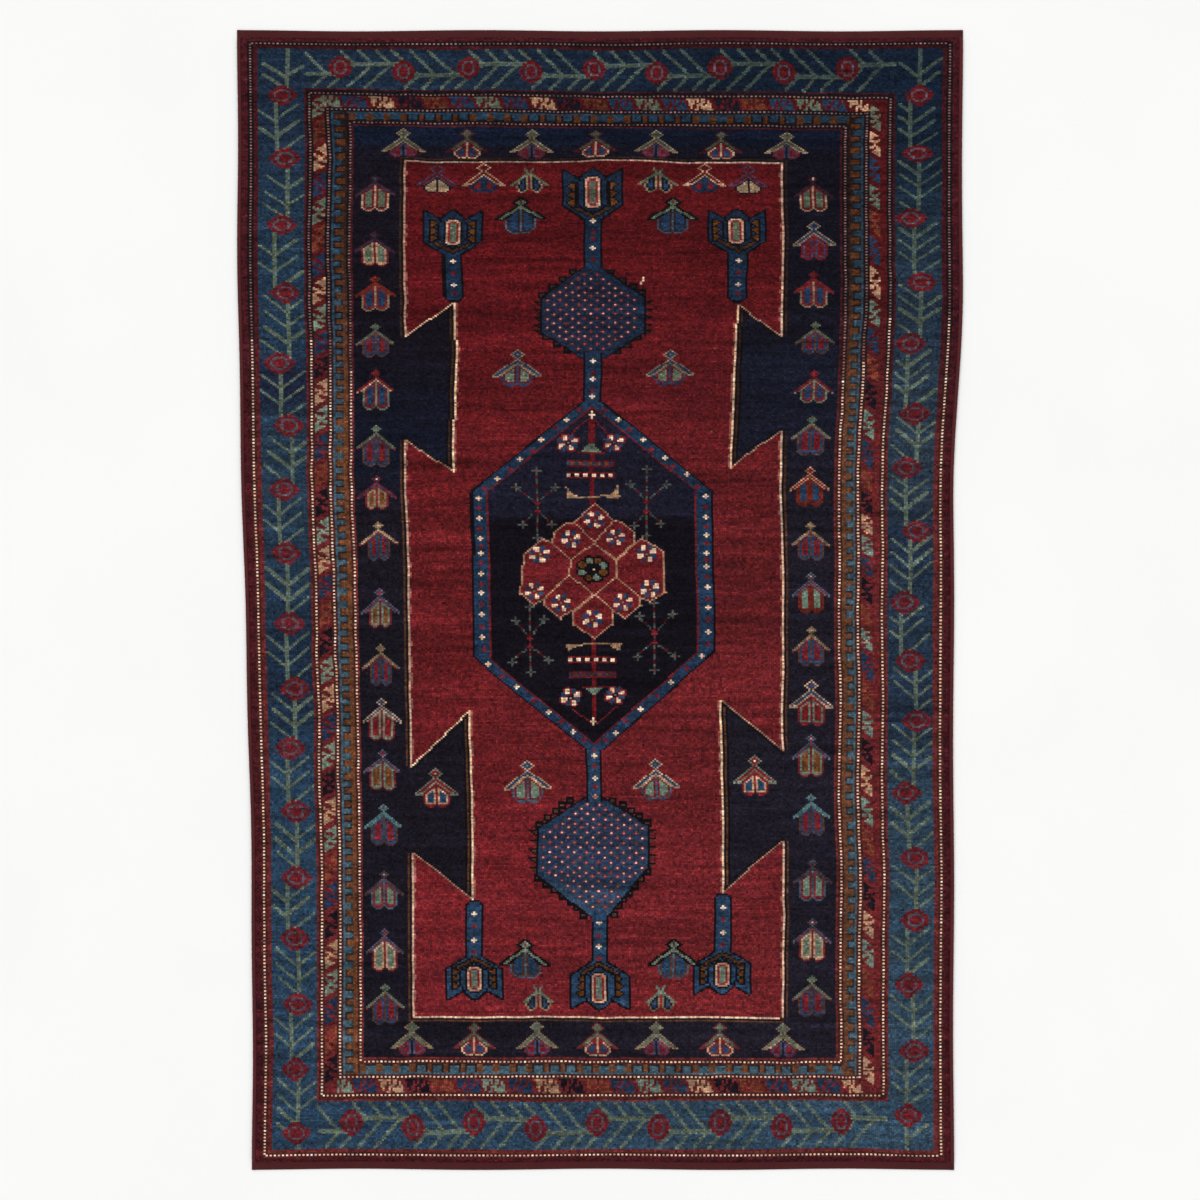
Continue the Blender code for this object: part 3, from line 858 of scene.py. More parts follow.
# Pale and red marks in the medallion's blue band
BAND_LIGHTS = [
    (-13, 170.5), (-24.3, 182.5), (-35, 194.2), (-46, 206), (-54.3, 218.3), (-54.3, 230.5), (-54.3, 242),
    (-54.3, 251.8), (-54.3, 263), (-54.3, 274.8), (-54.3, 287.8), (-54.3, 300.5), (-52, 315), (-38, 328.8),
    (-23, 343), (-10.2, 355.5), (12.5, 170), (24, 182), (35, 193), (46, 203.5), (55.7, 216.5), (55.5, 229),
    (55.5, 240), (55.5, 251), (55.5, 259), (55.5, 271), (55.5, 283.5), (55.5, 297), (52.5, 311),
    (37.5, 326), (22.3, 342), (10, 356),
]
BAND_REDS = [
    (-6.5, 164), (-17.8, 175.5), (-29, 189), (-39.8, 200.3), (-51.7, 212.5), (-54.3, 224.5), (-54.3, 236.5),
    (-54.3, 247), (-54.3, 257.5), (-54.3, 269), (-54.3, 281), (-54.3, 294), (-54, 307.5), (-45, 322),
    (-30, 336), (-16.5, 349.5), (-6, 360), (5, 164), (17.5, 176), (28, 188), (39.5, 198), (51, 210),
    (55.5, 223), (55.5, 235), (55.5, 245), (55.5, 255), (55.5, 265), (55.5, 278), (55.5, 290), (55.5, 304),
    (45.5, 318), (30, 334), (15.5, 349), (5, 360),
]

# Diamond cells of the red figure in the medallion
CELLS = [
    [(1, 221), (10.5, 231.5), (1, 244.5), (-9.2, 233)],
    [(-12, 233), (-18.5, 239.5), (-19.5, 246), (-10.5, 255), (1, 244.5), (-9.2, 233)],
    [(13.5, 232), (20, 238.5), (20.5, 245), (11.5, 254.5), (1, 244.5), (10.5, 231.5)],
    [(1, 244.5), (11.5, 255), (11, 264.5), (0, 275), (-11.5, 264.5), (-10.5, 255)],
    [(-24, 243), (-33.5, 252), (-34.5, 265), (-35.5, 275), (-28.5, 281), (-23, 277.5), (-11.5, 264.5),
     (-10.5, 255), (-19.5, 246)],
    [(24, 241.5), (34.5, 250), (35, 274), (27.5, 279.5), (22.5, 276.5), (11, 264.5), (11.5, 255),
     (20.5, 245)],
    [(-23.5, 277.5), (-23, 282), (-16, 289), (-9.5, 284), (0, 275), (-11.5, 264.5)],
    [(22.5, 276.5), (23, 281), (15, 288), (9, 283.5), (0, 275), (11, 264.5)],
    [(-9, 284), (-9.5, 292), (0.5, 300), (9, 292), (9, 283.5), (0, 275)],
]
CELL_PINWHEELS = [(1, 231), (-10.5, 243), (11.5, 241.5), (-26, 252.5), (26.5, 251), (-28.5, 273.5),
                  (27.5, 272), (-15.5, 280.5), (14.5, 279.5), (-0.3, 289)]
GROUND_PINWHEELS = [(-11.7, 184.7), (10.3, 184.5), (-11.5, 335), (10.5, 334.5)]
ROSETTE_PETALS = [(-1.7, 255.4), (2.7, 255.4), (5.2, 257.9), (5.0, 262), (1.9, 265.3), (-2, 265.5),
                  (-5.2, 262.4), (-4.9, 258.2)]
PINWHEEL_PETALS = [(-1.3, -3.1), (3.1, -1.4), (1.3, 3.1), (-3.1, 1.4)]
PINWHEEL_GAPS = [(1.4, -3.2), (3.1, 1.4), (-1.4, 3.2), (-3.1, -1.4)]

# Ovals of a pinwheel, in the order of weaving: where, how far out, half width, half length, dye
PINWHEEL_RIM = [(PINWHEEL_PETALS, 1.1, 2.4, 2.5, "crimson")]
PINWHEEL_PARTS = [
    (PINWHEEL_GAPS, 1.2, 1.2, 1.3, "blue"), (PINWHEEL_GAPS, 0.75, 0.8, 0.8, "blue"),
    (PINWHEEL_PETALS, 1.15, 1.2, 1.25, "light"), (PINWHEEL_PETALS, 0.8, 0.8, 0.9, "light"),
]


def pinwheel(u, v, parts):
    """Four pale petals and four small blue ones by turns about a sage heart."""
    for places, out, half_width, half_length, dye in parts:
        for du, dv in places:
            oval(u + out * du, v + out * dv, half_width, half_length, dye)
    diamond(u, v, "sage", 0)


# Sprigs: stem column, first and last row, then the branch ends
SPRIGS = [
    (-26.8, 201, 242, 221, [(-37, 211), (-17.3, 211)], 226, [(-33.7, 234.5), (-19.5, 234.5)]),
    (26.5, 200, 240, 220, [(18.5, 209.5), (36, 209.5)], 225, [(20.3, 234), (33.7, 233)]),
    (-30.7, 282, 320, 300, [(-38, 290.2), (-23.7, 289.5)], 305, [(-39.8, 314), (-21.5, 313)]),
    (29.5, 280, 319, 298, [(22, 287.5), (38.5, 287)], 303, [(21, 311.5), (39, 311)]),
]
SPRIG_RUN = 3.0                         # knots of a sprig in one dye


def alternating(points, dyes):
    """A thin path whose knots change dye every few rows."""
    (u0, v0), (u1, v1) = points
    run = max(abs(u1 - u0), abs(v1 - v0))
    pieces = int(np.ceil(run / SPRIG_RUN))
    for number in range(pieces):
        s, t = number / pieces, (number + 1) / pieces
        ends = [(u0 + (u1 - u0) * share, v0 + (v1 - v0) * share) for share in (s, t)]
        thread(ends, dyes[number % len(dyes)])


def weave_medallion_ground():
    """Bands of the medallion, told by the distance across from its two slanting sides."""
    edges = []
    for points in (MEDALLION_LEFT, MEDALLION_RIGHT):
        across, along = zip(*points)
        edges.append(np.interp(V, along, across))
    depth = np.minimum(U - edges[0], edges[1] - U)
    rows = (V > MEDALLION_LEFT[0][1]) & (V < MEDALLION_LEFT[-1][1])
    weave(rows & (depth > 0), "black")
    weave_stems()
    for start, dye in MEDALLION_BANDS:
        weave(rows & (depth > start), dye)


# Bars across the pole: first row and the two dyes of the cells
BARS = [(195, ("blue", "ochre")), (202, ("light", "guard navy")), (311, ("light", "guard navy")),
        (320, ("purple", "brown line"))]


def weave_bar(first_row, dyes):
    """A short bar across the pole: two rows of cells two knots wide between thin red rows."""
    block(-11, 11, first_row, first_row + 3, "pole red")
    for number, column in enumerate(range(-11, 11, 2)):
        block(column, column + 1, first_row + 1, first_row + 2, dyes[number % 2])


def weave_medallion():
    """The medallion with its pole, cells, pinwheels, bars, brackets and sprigs."""
    weave_medallion_ground()
    for u, v in BAND_REDS:
        diamond(u, v, "crimson", 1)
    for u, v in BAND_LIGHTS:
        diamond(u, v, "light", 1)
        diamond(u + np.sign(u), v, "light", 0)
    for v in (163.5, 365):
        diamond(-0.6, v, "crimson", 0)
    line([(-0.6, 171), (-0.6, 188)], "pole red", 2.6)
    line([(0.4, 188), (0.5, 222)], "pole red", 2.0)
    line([(0.0, 299), (-0.2, 347)], "pole red", 2.0)
    for u, v in ((-0.6, 167.5), (-0.4, 349.5)):
        diamond(u, v, "light", 1)
        thread([(u, v - 2), (u, v + 2)], "light")
    for path in ([(-2, 170), (-8, 175.5), (-10.5, 180)], [(1.5, 171.5), (5, 176), (7.5, 179)],
                 [(-10.5, 342.5), (-2, 350.5)], [(11, 341), (1.5, 350)]):
        thread(path, "band red")
    patch([(-1.4, 184.8), (0.1, 184.8), (3.9, 189.9), (-5.4, 189.9)], "sage")
    thread([(-6.5, 190.3), (5.5, 190.3)], "pole red")
    patch([(-5.0, 330), (4.6, 330), (0.6, 334.0), (-0.8, 334.0)], "sage")
    thread([(-6, 329.4), (6, 329.4)], "pole red")
    for row, dyes in BARS:
        weave_bar(row, dyes)
    thread([(-12, 217.3), (13, 216.8)], "tan")
    patch([(-12.6, 210.8), (-11.6, 211.6), (-9.6, 215.2), (-5.6, 217.4), (-5.6, 218.4),
           (-11.6, 218.4)], "tan")
    patch([(13.2, 209.8), (13.2, 217.6), (7.0, 217.6), (7.2, 216.4), (10.8, 214.2), (12.2, 210.4)], "tan")
    thread([(-12, 304.6), (-4, 303.8), (5, 303.4), (13, 303.6)], "tan")
    patch([(-12.6, 304), (-5.5, 304), (-10.5, 307), (-12.4, 309)], "tan")
    patch([(6.0, 303), (12.8, 303), (12.6, 307.5), (11.5, 307)], "tan")
    for cell in CELLS:
        patch(cell, "cell red")
    for cell in CELLS:
        outline(cell, "cell line")
    oval(0.2, 260.4, 4.5, 5.0, "black")
    for u, v in ROSETTE_PETALS:
        oval(u, v, 2.9, 3.1, "black")
    for number, (u, v) in enumerate(ROSETTE_PETALS):
        oval(u, v, 1.75, 1.9, ("sage", "spine")[number % 2])
    diamond(0.2, 260.3, "light", 0)
    for u, v in CELL_PINWHEELS:
        pinwheel(u, v, PINWHEEL_PARTS)
    for u, v in GROUND_PINWHEELS:
        pinwheel(u, v, PINWHEEL_RIM + PINWHEEL_PARTS)
    for stem, start, end, fork, upper, low_fork, lower in SPRIGS:
        alternating([(stem, start), (stem, end)], ("sprig", "sprig red"))
        for foot, tips in ((fork, upper), (low_fork, lower)):
            for tip in tips:
                alternating([(stem, foot), tip], ("sprig red", "sprig"))
        for foot in (fork, low_fork):
            diamond(stem, foot, "madder", 1)
        for u, v in [(stem, start), (stem, end), *upper, *lower]:
            cross(u, v, "sprig", 2)
            diamond(u, v, "crimson", 0)


# Roofed flowers of the field: middle columns, top row, chart, height, dyes t r o i l d e
FIELD_FLOWERS = [
    ((-74.5, 74), 1, PETAL_FLOWER, 20, "haze field navy fawn fawn"),
    ((-52.5, 52.5), 0, GABLE_FLOWER, 20, "straw field petal_blue petal_blue crimson"),
    ((-30.5, 30.5), 4, OPEN_FLOWER, 17, "sage sage navy buff blue"),
    ((-34.5, 37.5), 24, DARK_ROOF_FLOWER, 25, "black sage slate brown_line blue crimson"),
    ((-36.5, 36.3), 126, WIDE_FLOWER, 24, "buff blue blue field sage buff buff"),
    ((-33.5,), 372, WIDE_FLOWER, 26, "straw blue slate crimson mint buff straw"),
    ((29.5,), 371, WIDE_FLOWER, 25, "straw blue slate crimson mint buff straw"),
    ((-77.2,), 376, LARGE_FLOWER, 24, "sage crimson crimson straw blue straw sage"),
    ((77.3,), 369, LARGE_FLOWER, 24, "sage crimson crimson straw blue light sage"),
    ((-28, 32), 505, OPEN_FLOWER, 15, "sage sage navy buff blue"),
    ((-34, 38), 478, DARK_ROOF_FLOWER, 23, "black sage slate brown_line blue crimson"),
]


def weave_field():
    """Everything inside the cream lines."""
    for notch in NOTCHES:
        weave_notch(**notch)
    weave_tulips()
    weave_hexagon(**UPPER_HEXAGON)
    weave_hexagon(**LOWER_HEXAGON)
    block(-3, 3, 69, 73, "tulip blue")
    block(-1, 5, 462, 467, "tulip blue")
    weave_medallion()
    for middles, top, chart, height, dyes in FIELD_FLOWERS:
        for middle in middles:
            flower(middle, top, chart, height, dyes)
    thread([(23.5, 78.5), (22.6, 82.5)], "light")
    for u, v in ((57, 125), (57, 177), (-63.5, 153.5)):
        diamond(u, v, "blush", 0)


weave_bands()
weave_combs()
weave_guards()
weave_vines()
weave_border_flowers()
weave_field()

# ---------------------------------------------------------------- colour of each knot

STREAK, BLOTCH, KNOT_GRAIN = 0.055, 0.045, 0.140   # changes of lightness, as shares
TINT = 0.02                             # how far a knot leans to red or to blue
ABRASH_DRIFT = 3.0                      # rows by which a stretch of abrash wanders
BLEND_HALF = 95.0                       # columns either way over which left dyes turn to right ones


def linear(colour):
    """Light share of a colour given in 0..255 on a screen's scale."""
    share = np.clip(colour / 255.0, 0.0, 1.0)
    return np.where(share <= 0.04045, share / 12.92, ((share + 0.055) / 1.055) ** 2.4)


def knot_colours():
    """Each knot's dye at its row, blended across, with abrash, spinning streaks and its own grain."""
    across = smooth((U + BLEND_HALF) / (2 * BLEND_HALF))[..., None]
    colours = np.zeros(U.shape + (3,))
    row = V[:, 0]
    for name, stations in DYES.items():
        at = [s[0] for s in stations]
        sides = []
        for side in (slice(1, 4), slice(-3, None)):
            channels = [np.interp(row, at, channel) for channel in zip(*(s[side] for s in stations))]
            sides.append(np.stack(channels, axis=1)[:, None, :])
        mixed = sides[0] * (1 - across) + sides[1] * across
        worn = plan == DYE_NUMBER[name]
        colours[worn] = mixed[worn]
    at, *sides = zip(*FIELD_ABRASH)
    left, right = (np.interp(row, at, side)[:, None] for side in sides)
    shares = left * (1 - across[..., 0]) + right * across[..., 0]
    drift = soft_noise(U.shape, 60, 34, 5) * ABRASH_DRIFT
    step = np.clip(np.round(V + drift - FIRST_ROW).astype(int), 0, U.shape[0] - 1)
    shares = np.take_along_axis(shares, step, axis=0)
    lightness = np.where(plan == DYE_NUMBER["field"], shares, 1.0)
    lightness = lightness * (1 + STREAK * soft_noise(U.shape, 3.2, 46, 11))
    lightness = lightness * (1 + STREAK * soft_noise(U.shape, 1.05, 13, 14))
    lightness = lightness * (1 + BLOTCH * soft_noise(U.shape, 1.6, 1.5, 12))
    lightness = lightness * (1 + KNOT_GRAIN * random.normal(size=U.shape))
    tint = 1 + TINT * soft_noise(U.shape, 2.0, 2.5, 13)[..., None] * np.array([1.0, 0.0, -1.0])
    return linear(colours * lightness[..., None] * tint)


# ---------------------------------------------------------------- places of the knots

ROW_GROWTH, ROW_RIPPLE = 0.175, 0.022   # how rows grow towards the near end, as shares of a far row

# The weaver's unevenness, in metres
COMB_SQUEEZE = 0.0034                   # how far the right-hand comb is pushed in
END_SLANT = 0.0074                      # how much the far border slants across the rug
SLOW_WANDER, QUICK_WANDER, KNOT_WANDER = 0.0011, 0.0005, 0.00022
KNOT_LUMPS, SOFT_LUMPS = 0.00035, 0.00025
NAP = 0.0012                            # the most that a knot stands above the pile
EDGE_FADE = 12                          # knots from an edge where the wander has its full size


def wave(t, waves):
    """A wave that runs between 0 and 1 and starts and ends at 0."""
    return 0.5 * (1.0 - np.cos(2.0 * np.pi * waves * t))


def left_side(from_far):
    """X of the left side at a share of the length from the far end."""
    drawn = LEFT_DRAW_IN * smooth((from_far - LEFT_START) / LEFT_RUN)
    return -FAR_WIDTH / 2 + drawn + SIDE_WAVE * wave(from_far, LEFT_WAVES)


def right_side(from_far):
    """X of the right side, which draws in over a shorter stretch."""
    drawn = RIGHT_DRAW_IN * smooth((from_far - RIGHT_START) / RIGHT_RUN)
    return FAR_WIDTH / 2 - drawn - SIDE_WAVE * wave(from_far, RIGHT_WAVES)


def end_inset(x, from_end):
    """How far a point moves in from the straight end: a wave that fades along the rug."""
    fade = 1.0 - smooth(from_end / END_WAVE_REACH)
    return END_WAVE * wave(x / FAR_WIDTH + 0.5, END_WAVES) * fade


def along_rug(x, station):
    """Y at a distance from the far end, with both ends' waves."""
    return LENGTH / 2 - station - end_inset(x, station) + end_inset(x, LENGTH - station)


def row_stations():
    """Distance from the far end to each line between rows, from row heights that grow and ripple."""
    v = np.arange(FIRST_ROW, LAST_ROW + 1) + 0.5
    height = 1 + ROW_GROWTH * smooth((v - 20) / 230)
    height = height + ROW_RIPPLE * np.sin((v - 265) / 30) * smooth((v - 150) / 60)
    reach = np.concatenate([[0.0], np.cumsum(height)])
    return WEB_DEPTH + (LENGTH - 2 * WEB_DEPTH) * reach / reach[-1]


def pile_height(from_side, from_end):
    """Height of the pile: the cord's dip and the shoulder at a side, the web at an end."""
    foot = CORD_HEIGHT - CORD_DIP
    side = foot + (PILE_HEIGHT - foot) * smooth((from_side - CORD_WIDTH) / SHOULDER_WIDTH)
    return WEB_HEIGHT + (side - WEB_HEIGHT) * smooth((from_end - WEB_DEPTH) / WEB_SHOULDER)


def lay_out_knots():
    """X, Y and Z of the corners between knots: even columns between the cords, then the weaver's
    unevenness, which is a slanted far end, a squeeze of the right-hand comb and soft noise."""
    station = row_stations()[:, None]
    edge_u = np.arange(FIRST_COLUMN - 1, LAST_COLUMN + 1)[None, :]
    edge_v = np.arange(FIRST_ROW, LAST_ROW + 2)[:, None]
    left = left_side(station / LENGTH) + CORD_WIDTH
    right = right_side(station / LENGTH) - CORD_WIDTH
    share = (edge_u - edge_u[0, 0]) / (edge_u[0, -1] - edge_u[0, 0])
    x = left + share * (right - left)
    y = along_rug(x, station)

    shape = x.shape
    to_side = np.minimum(edge_u - edge_u[0, 0], edge_u[0, -1] - edge_u)
    to_end = np.minimum(edge_v - edge_v[0, 0], edge_v[-1, 0] - edge_v)
    inner = smooth(to_side / EDGE_FADE) * smooth(to_end / EDGE_FADE)
    squeeze = np.clip(np.minimum((edge_u - 120) / 8, (139 - edge_u) / 10), 0, 1)
    x = x - COMB_SQUEEZE * squeeze * smooth((edge_v - 95) / 30) * smooth(to_end / EDGE_FADE)
    slant = np.clip((edge_u + 115) / 235, 0, 1) - 0.5
    y = y - END_SLANT * slant * smooth(-edge_v / 25) * (1 - smooth((-edge_v - 45) / 40))
    for place, seed in ((x, 21), (y, 23)):
        slow, quick = soft_noise(shape, 48, 36, seed), soft_noise(shape, 12, 10, seed + 1)
        place += inner * (SLOW_WANDER * slow + QUICK_WANDER * quick)
    for place in (x, y):
        place += inner * KNOT_WANDER * random.normal(size=shape)

    from_side = CORD_WIDTH + np.minimum(x - left, right - x)
    from_end = np.minimum(station, LENGTH - station) + 0 * x
    z = pile_height(from_side, from_end)
    lumps = KNOT_LUMPS * random.normal(size=shape) + SOFT_LUMPS * soft_noise(shape, 9, 7, 25)
    z = z + lumps * smooth(to_side / 3) * smooth(to_end / 3)
    return x, y, np.clip(z, 0.0, PILE_HEIGHT + NAP)


knot_x, knot_y, knot_z = lay_out_knots()
knot_colour = knot_colours()
OWN_SHARE = 0.92                        # how much of a knot's corner colour is its own dye
EYE_POWER = 0.4                         # power of light that evens out light and dark in a mean


def corner_colours(colour):
    """Mean colour of the knots that meet at each corner of the net."""
    padded = np.pad(colour, ((1, 1), (1, 1), (0, 0)), mode="edge") ** EYE_POWER
    corners = padded[:-1, :-1] + padded[1:, :-1] + padded[:-1, 1:] + padded[1:, 1:]
    return (corners / 4) ** (1 / EYE_POWER)


corner_colour = corner_colours(knot_colour)

# ---------------------------------------------------------------- meshes


def new_object(name, data):
    """Puts a mesh, a lamp or a camera into the scene."""
    made = bpy.data.objects.new(name, data)
    bpy.context.scene.collection.objects.link(made)
    return made


def new_piece(name, x, y, z, faces, material):
    """A piece of the rug from its points' places and its faces, riding on the rug's one body."""
    mesh = bpy.data.meshes.new(name)
    mesh.from_pydata(np.stack([x, y, z], axis=-1).reshape(-1, 3), [], faces)
    mesh.update()
    mesh.materials.append(material)
    mesh.shade_smooth()
    piece = new_object(name, mesh)
    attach(piece, "root")
    return piece


def net_faces(rows, columns, upwards):
    """Four-cornered faces of a net of points, anticlockwise from the side that they face."""
    corner = np.arange(rows * columns).reshape(rows, columns)
    a, b, c, d = corner[1:, :-1], corner[1:, 1:], corner[:-1, 1:], corner[:-1, :-1]
    order = (a, b, c, d) if upwards else (d, c, b, a)
    return np.stack(order, axis=-1).reshape(-1, 4)


FLAT_MARGIN = 0.015                     # empty share of a fold's width at each of its edges


def folded_places(rows, columns, upwards, folds):
    """Face corners in knots, and the same folded side by side into a square from 0 to 1."""
    i, j = np.meshgrid(np.arange(rows), np.arange(columns), indexing="ij")
    order = [(1, 0), (1, 1), (0, 1), (0, 0)] if upwards else [(0, 0), (0, 1), (1, 1), (1, 0)]
    down = np.stack([i + di for di, _ in order], axis=-1)
    across = np.stack([j + dj for _, dj in order], axis=-1)
    length = int(np.ceil(rows / folds))
    fold = (i // length)[..., None]
    span = 1 - 2 * FLAT_MARGIN
    flat_u = (fold + FLAT_MARGIN + span * across / columns) / folds
    flat_v = 1 - (FLAT_MARGIN + span * (down - fold * length) / length)
    places = np.stack([across, down], axis=-1).reshape(-1, 4, 2)
    return places, np.stack([flat_u, flat_v], axis=-1).reshape(-1, 4, 2)


def knotted(name, columns, rows, material, folds):
    """A part of the pile: one face to a knot, each corner mostly in the knot's own dye."""
    i0, i1 = rows[0] - FIRST_ROW, rows[1] - FIRST_ROW + 1
    j0, j1 = columns[0] - FIRST_COLUMN, columns[1] - FIRST_COLUMN + 1
    net = np.s_[i0:i1 + 1, j0:j1 + 1]
    faces = net_faces(i1 - i0 + 1, j1 - j0 + 1, True)
    piece = new_piece(name, knot_x[net], knot_y[net], knot_z[net], faces, material)
    own = knot_colour[i0:i1, j0:j1]
    meeting = corner_colour[net]
    corners = (meeting[1:, :-1], meeting[1:, 1:], meeting[:-1, 1:], meeting[:-1, :-1])
    mixed = np.stack([OWN_SHARE * own + (1 - OWN_SHARE) * corner for corner in corners], axis=2)
    dye_corners(piece.data, mixed)
    lay_maps(piece.data, *folded_places(i1 - i0, j1 - j0, True, folds))
    return piece


def dye_corners(mesh, colours):
    """Stores a colour for each face corner."""
    colours = colours.reshape(-1, 3)
    rgba = np.ones((len(colours), 4), np.float32)
    rgba[:, :3] = colours
    layer = mesh.color_attributes.new("dye", "FLOAT_COLOR", "CORNER")
    layer.data.foreach_set("color", rgba.ravel())


def lay_maps(mesh, places, flat):
    """Stores the two maps: the flat one for finishing, and places counted in knots."""
    for name, values in (("OFBake", flat), ("knots", places)):
        layer = mesh.uv_layers.new(name=name)
        layer.data.foreach_set("uv", np.ascontiguousarray(values, np.float32).ravel())
    mesh.uv_layers["OFBake"].active = True
    mesh.uv_layers["OFBake"].active_render = True


def backing(name, columns, material, folds):
    """The underside on the floor: two rows of knots to a face, facing down, in the same dyes."""
    j0, j1 = columns[0] - FIRST_COLUMN, columns[1] - FIRST_COLUMN + 1
    lines = np.append(np.arange(0, len(knot_x) - 1, 2), len(knot_x) - 1)
    net = np.ix_(lines, np.arange(j0, j1 + 1))
    faces = net_faces(len(lines), j1 - j0 + 1, False)
    piece = new_piece(name, knot_x[net], knot_y[net], np.zeros_like(knot_x[net]), faces, material)
    own = knot_colour[lines[:-1], j0:j1]
    dye_corners(piece.data, np.repeat(own[:, :, None, :], 4, axis=2))
    places, flat = folded_places(len(lines) - 1, j1 - j0, False, folds)
    lay_maps(piece.data, places * np.array([1.0, 2.0]), flat)
    return piece


FOUNDATION_COLUMNS, FOUNDATION_STATIONS = 90, 150
FOUNDATION_LIFT = 0.0004                # above the knots' backs
FOUNDATION_TOP = 0.0030
FOUNDATION_INSET = 0.0012               # in from the rug's side, inside the cord
FOUNDATION_END = np.array([0.0, 0.0006, 0.0018, 0.004, 0.0075, 0.011, 0.0145, 0.018, 0.024])
WEB_EDGE_DROP, WEB_EDGE_DEPTH = 0.0012, 0.0018   # how the web rounds off at its end


def foundation(name, material):
    """The woven ground as a thin closed slab out to the web ends: a net above, the same net below
    and a wall round them.  Its top rises to the web's height at the two ends."""
    inner = FOUNDATION_END[-1]
    middle = np.linspace(inner, LENGTH - inner, FOUNDATION_STATIONS)[1:-1]
    station = np.concatenate([FOUNDATION_END, middle, LENGTH - FOUNDATION_END[::-1]])[:, None]
    share = np.linspace(0, 1, FOUNDATION_COLUMNS + 1)[None, :]
    left = left_side(station / LENGTH) + FOUNDATION_INSET
    right = right_side(station / LENGTH) - FOUNDATION_INSET
    x = left + share * (right - left)
    y = along_rug(x, station)
    to_end = np.minimum(station, LENGTH - station) + 0 * x
    top = FOUNDATION_TOP + (WEB_HEIGHT - FOUNDATION_TOP) * (to_end < WEB_DEPTH + 0.001)
    top = top - WEB_EDGE_DROP * (1 - smooth(to_end / WEB_EDGE_DEPTH))
    bottom = np.full(x.shape, FOUNDATION_LIFT)
    rows, columns = x.shape
    count = rows * columns
    corner = np.arange(count).reshape(rows, columns)
    rim = np.concatenate([corner[0, :-1], corner[:-1, -1], corner[-1, :0:-1], corner[:0:-1, 0]])
    following = np.roll(rim, -1)
    wall = np.stack([rim, following, following + count, rim + count], axis=-1)
    upper, lower = net_faces(rows, columns, True), net_faces(rows, columns, False) + count
    faces = np.concatenate([upper, lower, wall])
    return new_piece(name, [x, x], [y, y], [top, bottom], faces, material)


WRAP_PITCH = 0.0033                     # one turn of the overcasting
WRAP_SWELL, YARN_SWELL = 0.055, 0.02    # how the cord swells in a turn, and from turn to turn
MOST_SWELL = 1.07                       # the most that it swells across
CORD_POINTS = 12
STEPS_PER_WRAP = 3
CORD_SQUARE = 0.8                       # power of the profile: 1 is round, less is squarer
CORD_THIN_START, CORD_THIN_RUN = 0.012, 0.010   # where the cord thickens, from the end
CORD_SPREAD = 0.0006                    # how much wider than the cord's place the yarn lies


def selvedge(name, side, sign, material):
    """The overcast cord: a rounded profile carried down a long side, swelling at each turn of the
    yarn and thinning to the web's height at both ends."""
    wraps = int(round(LENGTH / WRAP_PITCH))
    station = np.linspace(0, LENGTH, wraps * STEPS_PER_WRAP + 1)[:, None]
    angle = (np.arange(CORD_POINTS) * 2 * np.pi / CORD_POINTS)[None, :]
    to_end = np.minimum(station, LENGTH - station)
    thick = smooth((to_end - CORD_THIN_START) / CORD_THIN_RUN)
    height = WEB_HEIGHT + (CORD_HEIGHT - WEB_HEIGHT) * thick
    turn = station / WRAP_PITCH * 2 * np.pi + angle * sign
    swell = 1 + WRAP_SWELL * np.cos(turn)
    yarn = np.random.default_rng(31 + int(sign > 0)).normal(size=(wraps + 2, 1)) * YARN_SWELL
    swell = swell + yarn[np.minimum((station[:, 0] / WRAP_PITCH).astype(int), wraps + 1)]
    half_width = (CORD_WIDTH + CORD_SPREAD) / 2
    round_u = np.sign(np.cos(angle)) * np.abs(np.cos(angle)) ** CORD_SQUARE
    round_z = np.sign(np.sin(angle)) * np.abs(np.sin(angle)) ** CORD_SQUARE
    middle = side(station / LENGTH) - sign * CORD_WIDTH / 2
    x = middle + half_width * round_u * np.minimum(swell, MOST_SWELL) * 0.94
    z = np.maximum(height / 2 + height / 2 * round_z * swell * 0.97, 0.0)
    y = along_rug(x, station + 0 * x)
    corner = np.arange(x.size).reshape(x.shape)
    after = np.roll(corner, -1, axis=1)
    skin = np.stack([corner[1:], after[1:], after[:-1], corner[:-1]], axis=-1).reshape(-1, 4)
    faces = [*skin.tolist(), corner[0].tolist(), corner[-1, ::-1].tolist()]
    return new_piece(name, x, y, z, faces, material)


# ---------------------------------------------------------------- finishes


def node(tree, kind, **settings):
    """Adds a node, with plain settings by attribute."""
    made = tree.nodes.new("ShaderNode" + kind)
    for key, value in settings.items():
        setattr(made, key, value)
    return made


def feed(tree, socket, value):
    """Sets a socket to a plain number, or links another socket to it."""
    if isinstance(value, (int, float)):
        socket.default_value = value
    else:
        tree.links.new(value, socket)


def maths(tree, operation, *values):
    """A maths step on sockets or plain numbers."""
    made = node(tree, "Math", operation=operation)
    for socket, value in zip(made.inputs, values):
        feed(tree, socket, value)
    return made.outputs[0]


def times(tree, first, second):
    """One value times another."""
    return maths(tree, "MULTIPLY", first, second)


def between(tree, value, span, start):
    """A value from 0 to 1 spread over a span from a start."""
    return maths(tree, "ADD", times(tree, value, span), start)


def summed(tree, first, first_share, second, second_share):
    """The sum of two values, each times its share."""
    return maths(tree, "ADD", times(tree, first, first_share), times(tree, second, second_share))


def ridge(tree, value, power):
    """Rounded ridges, one to each whole number: the size of sin(pi x), raised to a power."""
    sine = maths(tree, "SINE", times(tree, value, float(np.pi)))
    return maths(tree, "POWER", maths(tree, "ABSOLUTE", sine), power)


